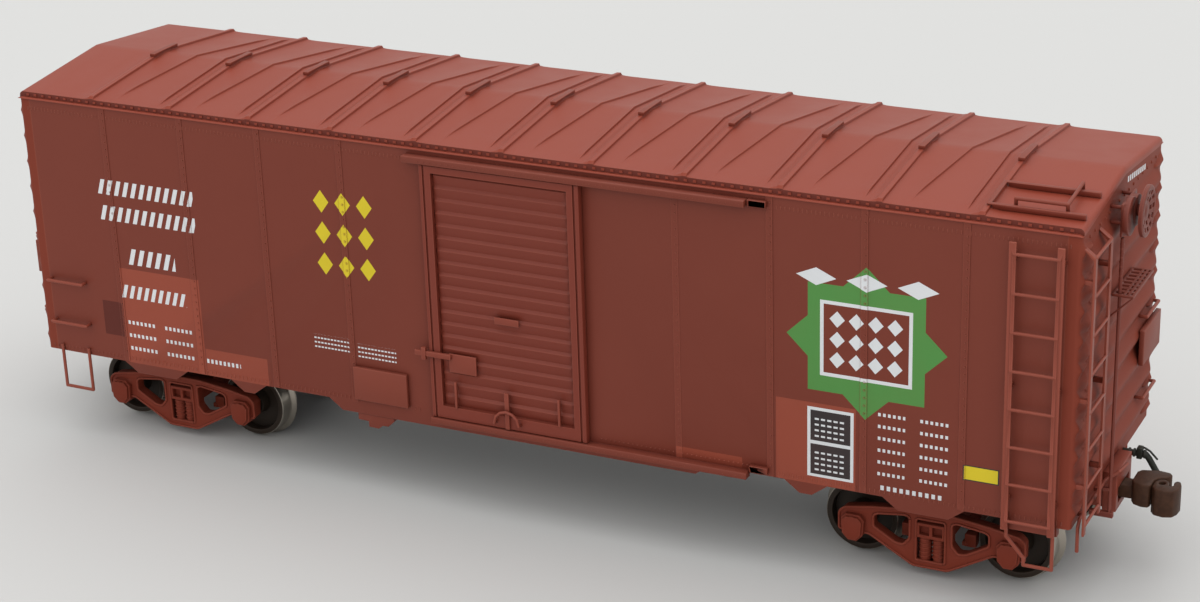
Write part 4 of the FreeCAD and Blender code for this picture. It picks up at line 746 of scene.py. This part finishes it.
def side_print(tree, colour):
    """The printed marks over the paint outside, alike on both sides of the car."""
    place = tree.nodes.new("ShaderNodeTexCoord")
    split = tree.nodes.new("ShaderNodeSeparateXYZ")
    tree.links.new(place.outputs["Object"], split.inputs["Vector"])
    hand = sum_node(tree, "SIGN", split.outputs["Y"])
    flat = tree.nodes.new("ShaderNodeCombineXYZ")
    with_hand = sum_node(tree, "MULTIPLY", split.outputs["X"], hand)
    tree.links.new(sum_node(tree, "MULTIPLY", with_hand, -1.0), flat.inputs["X"])
    tree.links.new(split.outputs["Z"], flat.inputs["Z"])
    outside = sum_node(tree, "GREATER_THAN", sum_node(tree, "ABSOLUTE", split.outputs["Y"]),
                       (-side_low.y - WALL_SKIN) * MM)
    inked = colour
    for kind, ink, (along, up), (half_long, half_high), (step, rise), share in MARKS:
        mark = placed(tree, mark_groups[kind], Middle=Vector((along, 0, sill + up)) * MM,
                      Half=Vector((half_long, 1, half_high)) * MM,
                      Step=Vector((step, 1, rise)) * MM, Share=share)
        tree.links.new(flat.outputs["Vector"], mark.inputs["Place"])
        inked = mixed(tree, mark.outputs["Mask"], inked, ink)
    return mixed(tree, outside, colour, inked)


side_red = painted("side_red", BODY_RED, BODY_LIGHT, BODY_DARK, rough=0.48, printed=side_print)


def studs(bm, spots, radius, high, stretch=1.0):
    """Low six-sided rivet heads on the right side at (along, up) spots."""
    for along, up in spots:
        peg(bm, (radius, radius * RIVET_TIP, high), (along, side_low.y - high / 2, up), "X",
            stretch=stretch)


def slab(bm, low, high, round_by, segments=2):
    """A block between two corners, its edges rounded."""
    low, high = Vector(low), Vector(high)
    made = block(bm, high - low, (low + high) / 2)
    around = each_once(edge for vert in made for edge in vert.link_edges)
    bmesh.ops.bevel(bm, geom=around, offset=round_by, affect="EDGES", segments=segments,
                    profile=0.5, material=-1, clamp_overlap=True)


def free_edge(edge):
    """Is this edge of a side wall clear of the roof and of the end walls?"""
    return (all(abs(vert.co.x) < side_high.x - 0.1 for vert in edge.verts)
            and sum(vert.co.z for vert in edge.verts) / 2 < wall_top - 0.1)


for hand in ("right", "left"):
    wall = softened(merged(f"side_wall_{hand}"), 0.1, free_edge)
    finished(f"side_sheet_{hand}", wall, side_red, "car", "body_red", f"side_wall_{hand}")

    seams = bmesh.new()
    for post in POSTS:
        stands, head = SEAM_STANDS, HEAD_STANDS
        if post == DOOR_POST:
            stands, head = DOOR_SEAM_STANDS, DOOR_HEAD_STANDS
        slab(seams, (post - SEAM_HALF, side_low.y - stands, sill + 0.1),
             (post + SEAM_HALF, side_low.y + 0.2, wall_top), 0.04, 1)
        studs(seams, [(post + 0.12, up) for up in spaced(sill + 1.6, wall_top - 0.7, 1.0)],
              RIVET, head)
    # along the sill except at the doorway, under the roof, and over the lower track
    studs(seams, [(along, sill + SILL_ROW) for along in spaced(-71.8, 71.8, 0.62)
                  if abs(along) > DOORWAY and not TRACK_FROM < along < TRACK_TO],
          SMALL_RIVET, 0.08, LONG_RIVET)
    studs(seams, [(along, wall_top - TOP_ROW) for along in spaced(-71.6, 71.6, 0.55)],
          SMALL_RIVET, 0.06, LONG_RIVET)
    studs(seams, [(along, sill + TRACK_ROW) for along in spaced(12.6, 32.4, 0.62)],
          SMALL_RIVET, 0.08)
    if hand == "left":
        half_turned(seams)
    finished(f"side_seams_{hand}", seams, side_red, "car", "body_red")

# -------------------------------------------------------------------- doors
# A door is one moulding: a sheet pressed into narrow ribs, each with a ledge on
# top, inside a grooved frame. It hangs in the upper track and stands in the lower.

DOOR_FRAME = 1.65           # width of the frame's uprights
DOOR_RAIL = 1.75            # height of the bottom rail
DOOR_HEAD = 0.95            # height of the top rail
DOOR_RIBS = 18
DOOR_SUNK = 0.62            # from the frame's face in to the valleys between the ribs
DOOR_EDGE = 0.12            # rounding of the frame's outer edge
RIB_DEEP = 0.32             # how far a rib's ledge stands out of the valleys
RIB_LEDGE = 0.2             # share of a rib's height that its sloping ledge takes
RIB_START = 0.25            # run of a rib's sloping end
GROOVE_FROM, GROOVE_TO = 0.5, 0.78      # in each upright, from its outer edge
GROOVE_DEEP = 0.2

door_low, door_high = corners("door_right")
rib_step = (door_high.z - door_low.z - DOOR_RAIL - DOOR_HEAD) / (DOOR_RIBS + 1)


def door_point(x, z):
    """The door's outer face: the frame, its groove, and the ribs between."""
    far = door_high.x - abs(x)
    below, above = z - door_low.z, door_high.z - z
    out = door_low.y
    if far < DOOR_FRAME or below < DOOR_RAIL or above < DOOR_HEAD:
        if GROOVE_FROM < far < GROOVE_TO:
            out += GROOVE_DEEP
        edge = min(far, above, below)
        if edge < DOOR_EDGE:
            out += round_drop(DOOR_EDGE - edge, DOOR_EDGE)
    else:
        up = (below - DOOR_RAIL) / rib_step % 1
        lip = min(1, (far - DOOR_FRAME) / RIB_START)
        rise = min(up / (1 - RIB_LEDGE), (1 - up) / RIB_LEDGE)
        out += DOOR_SUNK - RIB_DEEP * lip * rise
    return Vector((x, out, z))


across_door = both_ways(spaced(0, 8.4, 1.2) + [door_high.x - place for place in (
    2.3, 1.9, 1.66, 1.64, 1.2, 0.8, 0.78, 0.76, 0.52, 0.5, 0.48, 0.2, 0.12, 0.06, 0.02, 0.0)])
panel_top = door_high.z - DOOR_HEAD
up_door = ([door_low.z + place for place in (0, 0.02, 0.06, 0.12, 0.6, 1.2, DOOR_RAIL - 0.01)]
           + spaced(door_low.z + DOOR_RAIL + 0.01, panel_top - 0.01, rib_step / 10)
           + [panel_top + place for place in (0.01, 0.5, 0.83, 0.89, 0.93, 0.95)])
door_red = painted("door_red", (0.186, 0.032, 0.018, 1), BODY_LIGHT, BODY_DARK, rough=0.46)

for hand in ("right", "left"):
    door = ruled_sheet(across_door, up_door, door_point)
    closed_with(door, lambda point: Vector((point.x, door_high.y, point.z)))
    if hand == "left":
        half_turned(door)
    finished(f"door_panel_{hand}", door, door_red, f"door_{hand}", "body_red", f"door_{hand}",
             sharp=50)
    recast(f"door_{hand}_fittings", fitting_red, "fitting_red", 0.05)

# -------------------------------------------------------------- door tracks
# Moulded rails above and below each doorway, with a rounded outer edge, a row of
# rivets and a hollow stop past the end that the door slides to.

TRACK_RIVET = (0.12, 0.07, 0.1)         # radius at the foot and at the tip, length
RIVETS_FROM, RIVETS_TO, RIVET_STEP = -11, 32.2, 0.85
OVER_DOOR, UNDER_DOOR = 0.5, 0.55
track_out = corners("door_tracks_right")[0].y

for hand in ("right", "left"):
    rails = softened(merged(f"door_tracks_{hand}"), 0.08)
    finished(f"door_rails_{hand}", rails, body_red, "car", "body_red", f"door_tracks_{hand}")
    heads = bmesh.new()
    for up in (door_high.z + OVER_DOOR, door_low.z - UNDER_DOOR):
        for along in spaced(RIVETS_FROM, RIVETS_TO, RIVET_STEP):
            peg(heads, TRACK_RIVET, (along, track_out + 0.01, up), "X")
    if hand == "left":
        half_turned(heads)
    finished(f"door_rail_rivets_{hand}", heads, body_red, "car", "body_red")

# ------------------------------------------------- ladders, irons and boards
# Separate thin mouldings and bent wires set into holes in the body, in a paint a
# little lighter than the body's, and blank boards for placards.

ladder_red = painted("ladder_red", (0.235, 0.047, 0.027, 1), (0.38, 0.12, 0.08, 1), BODY_DARK,
                     rough=0.42)
board_red = painted("board_red", (0.205, 0.042, 0.024, 1), (0.33, 0.10, 0.065, 1), BODY_DARK)
for node in ("side_ladder_right", "side_ladder_left", "end_ladder_front", "end_ladder_rear"):
    recast(node, ladder_red, "fitting_red", 0.08)
recast("grab_irons", ladder_red, "fitting_red", 0.05)
recast("sill_steps", ladder_red, "fitting_red", 0.05)
recast("placard_boards", board_red, "fitting_red", 0.1)

# ---------------------------------------------------------------- hand brake
# The dished wheel on its shaft, the drum it turns, the rod down to the sill and
# the open step that a brakeman stands on.

CHAIN_LINKS = ((0.5, 0.3, 0.36), (0.3, 0.5, 0.36))      # each turned against the next

brake_red = painted("brake_red", (0.150, 0.028, 0.017, 1), (0.30, 0.09, 0.06, 1), BODY_DARK,
                    rough=0.45)
recast("brake_wheel", brake_red, "fitting_red", 0.05)
recast("brake_housing", brake_red, "fitting_red", 0.1)
recast("brake_rod", brake_red, "fitting_red", 0.04)
recast("brake_step", brake_red, "fitting_red", 0.04)

# links of the chain that joins the drum to the rod
rod_low, rod_high = corners("brake_rod")
links = bmesh.new()
for number, high in enumerate(spaced(rod_high.z - 5.2, rod_high.z - 0.2, 0.55)):
    block(links, CHAIN_LINKS[number % 2],
          (rod_high.x - 0.5, (rod_low.y + rod_high.y) / 2, high))
bmesh.ops.bevel(links, geom=links.edges[:], offset=0.08, affect="EDGES", segments=1,
                profile=0.5, material=-1)
finished("brake_chain", links, brake_red, "car", "fitting_red")
recast("uncoupling_levers", fitting_red, "fitting_red", 0.04)

# ----------------------------------------------------------------- air lines
# A stiff moulded hose at each end with its valve and coupling, all of it black
# and slightly glossy.

hose_black = painted("hose_black", (0.016, 0.019, 0.014, 1), (0.10, 0.10, 0.085, 1),
                     (0.008, 0.008, 0.007, 1))
recast("air_line_ends", hose_black, "air_line_black", 0.1)

# ------------------------------------------------------------------- couplers
# Cast heads with a hooked knuckle, a straight shank and an eye round the post.
# The box and striker are part of the underframe's moulding.

coupler_brown = painted("coupler_brown", (0.022, 0.009, 0.005, 1), (0.115, 0.052, 0.029, 1),
                        (0.012, 0.006, 0.003, 1), shine=0.15, mottled=0.7, scale=70000.0)
for end in ("front", "rear"):
    recast(f"coupler_{end}", coupler_brown, "coupler_brown", 0.16)
    recast(f"knuckle_{end}", coupler_brown, "coupler_brown", 0.16)
recast("coupler_boxes", fitting_red, "fitting_red", 0.08)

# --------------------------------------------------------------------- trucks
# Each side frame is one casting with a raised bead round its edge and its
# openings, two journal boxes with lids, and moulded coil springs under the end
# of the bolster.

FRAME_BACK, FRAME_FACE = 11.4, 12.9     # from the middle of the track
OPENING_ROUND = 0.6         # rounding of the openings' corners
BEAD = 0.17                 # radius of the raised bead
AXLE_HALF = 9.9             # from the pivot to an axle
LUG_BACK, LUG_FACE = 13.2, 13.8         # of the lug on a journal box's lid
LUG_TOP, LUG_HIGH, LUG_HALF = 6.95, 0.6, 0.3
COIL = 0.12                 # radius of a spring's wire
SPRING_LOW, SPRING_HIGH = 2.35, 5.4
SPRING_RADIUS, SPRING_TURNS, SPRING_APART, SPRING_OUT = 0.72, 5, 0.85, 12.15
STEPS_A_TURN = 14

truck_red = painted("truck_red", (0.175, 0.027, 0.013, 1), (0.30, 0.075, 0.045, 1), BODY_DARK,
                    rough=0.55, shine=0.15)


def beaded(bm, rims):
    """Add a round bead along each of the edges."""
    for edge in rims:
        first, last = (vert.co for vert in edge.verts)
        line = last - first
        bead = bmesh.ops.create_cone(bm, cap_ends=True, segments=8, radius1=BEAD,
                                     radius2=BEAD, depth=line.length)["verts"]
        turned = Vector((0, 0, 1)).rotation_difference(line).to_matrix()
        bmesh.ops.rotate(bm, cent=(0, 0, 0), matrix=turned, verts=bead)
        bmesh.ops.translate(bm, vec=(first + last) / 2, verts=bead)


def cast_frame(node, way):
    """A side frame with rounded openings, and beads round them and its outline."""
    bm = merged(node)
    face_at, back_at = way * FRAME_FACE, way * FRAME_BACK
    through = [edge for edge in bm.edges if len(edge.link_faces) == 2
               and abs(sum(vert.co.y for vert in edge.verts) - face_at - back_at) < 0.02
               and abs(edge.verts[0].co.y - edge.verts[1].co.y) > abs(face_at - back_at) - 0.02
               and edge.calc_face_angle() > math.radians(15)]
    bmesh.ops.bevel(bm, geom=through, offset=OPENING_ROUND, offset_type="OFFSET",
                    affect="EDGES", segments=4, profile=0.5, material=-1, clamp_overlap=True)
    bm.normal_update()
    beads = bmesh.new()
    beaded(beads, [edge for edge in bm.edges
                   if edge.is_convex and edge.calc_face_angle() > math.radians(60)
                   and all(abs(vert.co.y - face_at) < 0.01 for vert in edge.verts)])
    return softened(bm, 0.05), beads


def coils(bm, middle):
    """A moulded coil spring: a small round section spun up round the upright axis."""
    section = bmesh.ops.create_circle(bm, segments=6, radius=COIL)["verts"]
    bmesh.ops.rotate(bm, cent=(0, 0, 0), matrix=Matrix.Rotation(math.pi / 2, 3, "X"),
                     verts=section)
    start = Vector((SPRING_RADIUS, 0, SPRING_LOW + COIL))
    bmesh.ops.translate(bm, vec=Vector(middle) + start, verts=section)
    ring = each_once(edge for vert in section for edge in vert.link_edges)
    steps = SPRING_TURNS * STEPS_A_TURN
    climb = (SPRING_HIGH - SPRING_LOW - 2 * COIL) / steps
    bmesh.ops.spin(bm, geom=section + ring, cent=middle, axis=(0, 0, 1), dvec=(0, 0, climb),
                   angle=SPRING_TURNS * 2 * math.pi, steps=steps, use_merge=False,
                   use_duplicate=False)


for end in ("front", "rear"):
    body = f"truck_{end}"
    pivot = sum(corner.x for corner in corners(f"truck_{end}_bolster")) / 2
    for hand, way in (("right", -1), ("left", 1)):
        node = f"truck_{end}_frame_{hand}"
        casting, beads = cast_frame(node, way)
        finished(f"{node}_cast", casting, truck_red, body, "truck_red", node)
        back, face = sorted((way * LUG_BACK, way * LUG_FACE))
        for along in (pivot - AXLE_HALF, pivot + AXLE_HALF):
            slab(beads, (along - LUG_HALF, back, LUG_TOP - LUG_HIGH),
                 (along + LUG_HALF, face, LUG_TOP), 0.1)
        finished(f"{node}_beads", beads, truck_red, body, "truck_red")
        springs = bmesh.new()
        for along in (pivot - SPRING_APART, pivot + SPRING_APART):
            coils(springs, (along, way * SPRING_OUT, 0))
        finished(f"{node}_springs", springs, truck_red, body, "truck_red")
    recast(f"truck_{end}_bolster", truck_red, "truck_red", 0.1)
    recast(f"truck_{end}_brake_beams", truck_red, "truck_red", 0.08)

# --------------------------------------------------------------------- wheels
# Turned metal wheels, blackened except where the tread and flange are bright,
# pressed on a black axle.

TREAD_FROM = 4.55           # radius from which a wheel's skin is bright

wheel_black = painted("wheel_black", (0.022, 0.014, 0.009, 1), (0.085, 0.058, 0.042, 1),
                      (0.006, 0.005, 0.004, 1), rough=0.48, metal=0.2)
tread_steel = painted("tread_steel", (0.36, 0.32, 0.27, 1), (0.6, 0.56, 0.5, 1),
                      (0.08, 0.07, 0.06, 1), rough=0.3, metal=0.9)
axle_black = painted("axle_black", (0.018, 0.015, 0.013, 1), (0.09, 0.08, 0.07, 1),
                     (0.008, 0.007, 0.006, 1), rough=0.45, metal=0.3)

for end in ("front", "rear"):
    for spot in ("outer", "inner"):
        node = f"wheels_{end}_{spot}"
        low, high = corners(node)
        centre = (low + high) / 2
        turned = softened(merged(node), 0.06)
        for face in turned.faces:
            away = face.calc_center_median() - centre
            if math.hypot(away.x, away.z) > TREAD_FROM and abs(face.normal.y) < 0.95:
                face.material_index = 1
        finished(f"{node}_turned", turned, [wheel_black, tread_steel],
                 f"wheelset_{end}_{spot}", "wheel_steel", node)
        recast(f"axle_{end}_{spot}", axle_black, "axle_black", 0.06)

# ----------------------------------------------------------------- underframe
# A moulded black floor frame with its sill, bolsters and bearers, the steel
# weight, the load floor, and the air brake's tank, cylinder, valve and levers.

frame_black = painted("underframe_black", (0.020, 0.018, 0.017, 1), (0.09, 0.075, 0.065, 1),
                      (0.008, 0.007, 0.007, 1), rough=0.52)
weight_steel = painted("weight_steel", (0.30, 0.30, 0.31, 1), (0.5, 0.5, 0.5, 1),
                       (0.1, 0.1, 0.1, 1), rough=0.35, metal=0.85)
floor_tan = painted("floor_tan", (0.27, 0.19, 0.12, 1), (0.36, 0.27, 0.18, 1),
                    (0.1, 0.07, 0.045, 1), rough=0.6)
screw_steel = painted("screw_steel", (0.25, 0.25, 0.26, 1), (0.5, 0.5, 0.5, 1),
                      (0.08, 0.08, 0.08, 1), rough=0.3, metal=0.9)
for node in ("underframe_plate", "center_sill", "body_bolsters", "cross_bearers",
             "air_reservoir", "brake_cylinder", "control_valve", "brake_rigging"):
    recast(node, frame_black, "underframe_black", 0.08)
recast("weight", weight_steel, "weight_steel", 0.08)
recast("floor", floor_tan, "floor_tan", 0.08)
recast("king_pins", screw_steel, "screw_steel", 0.08)
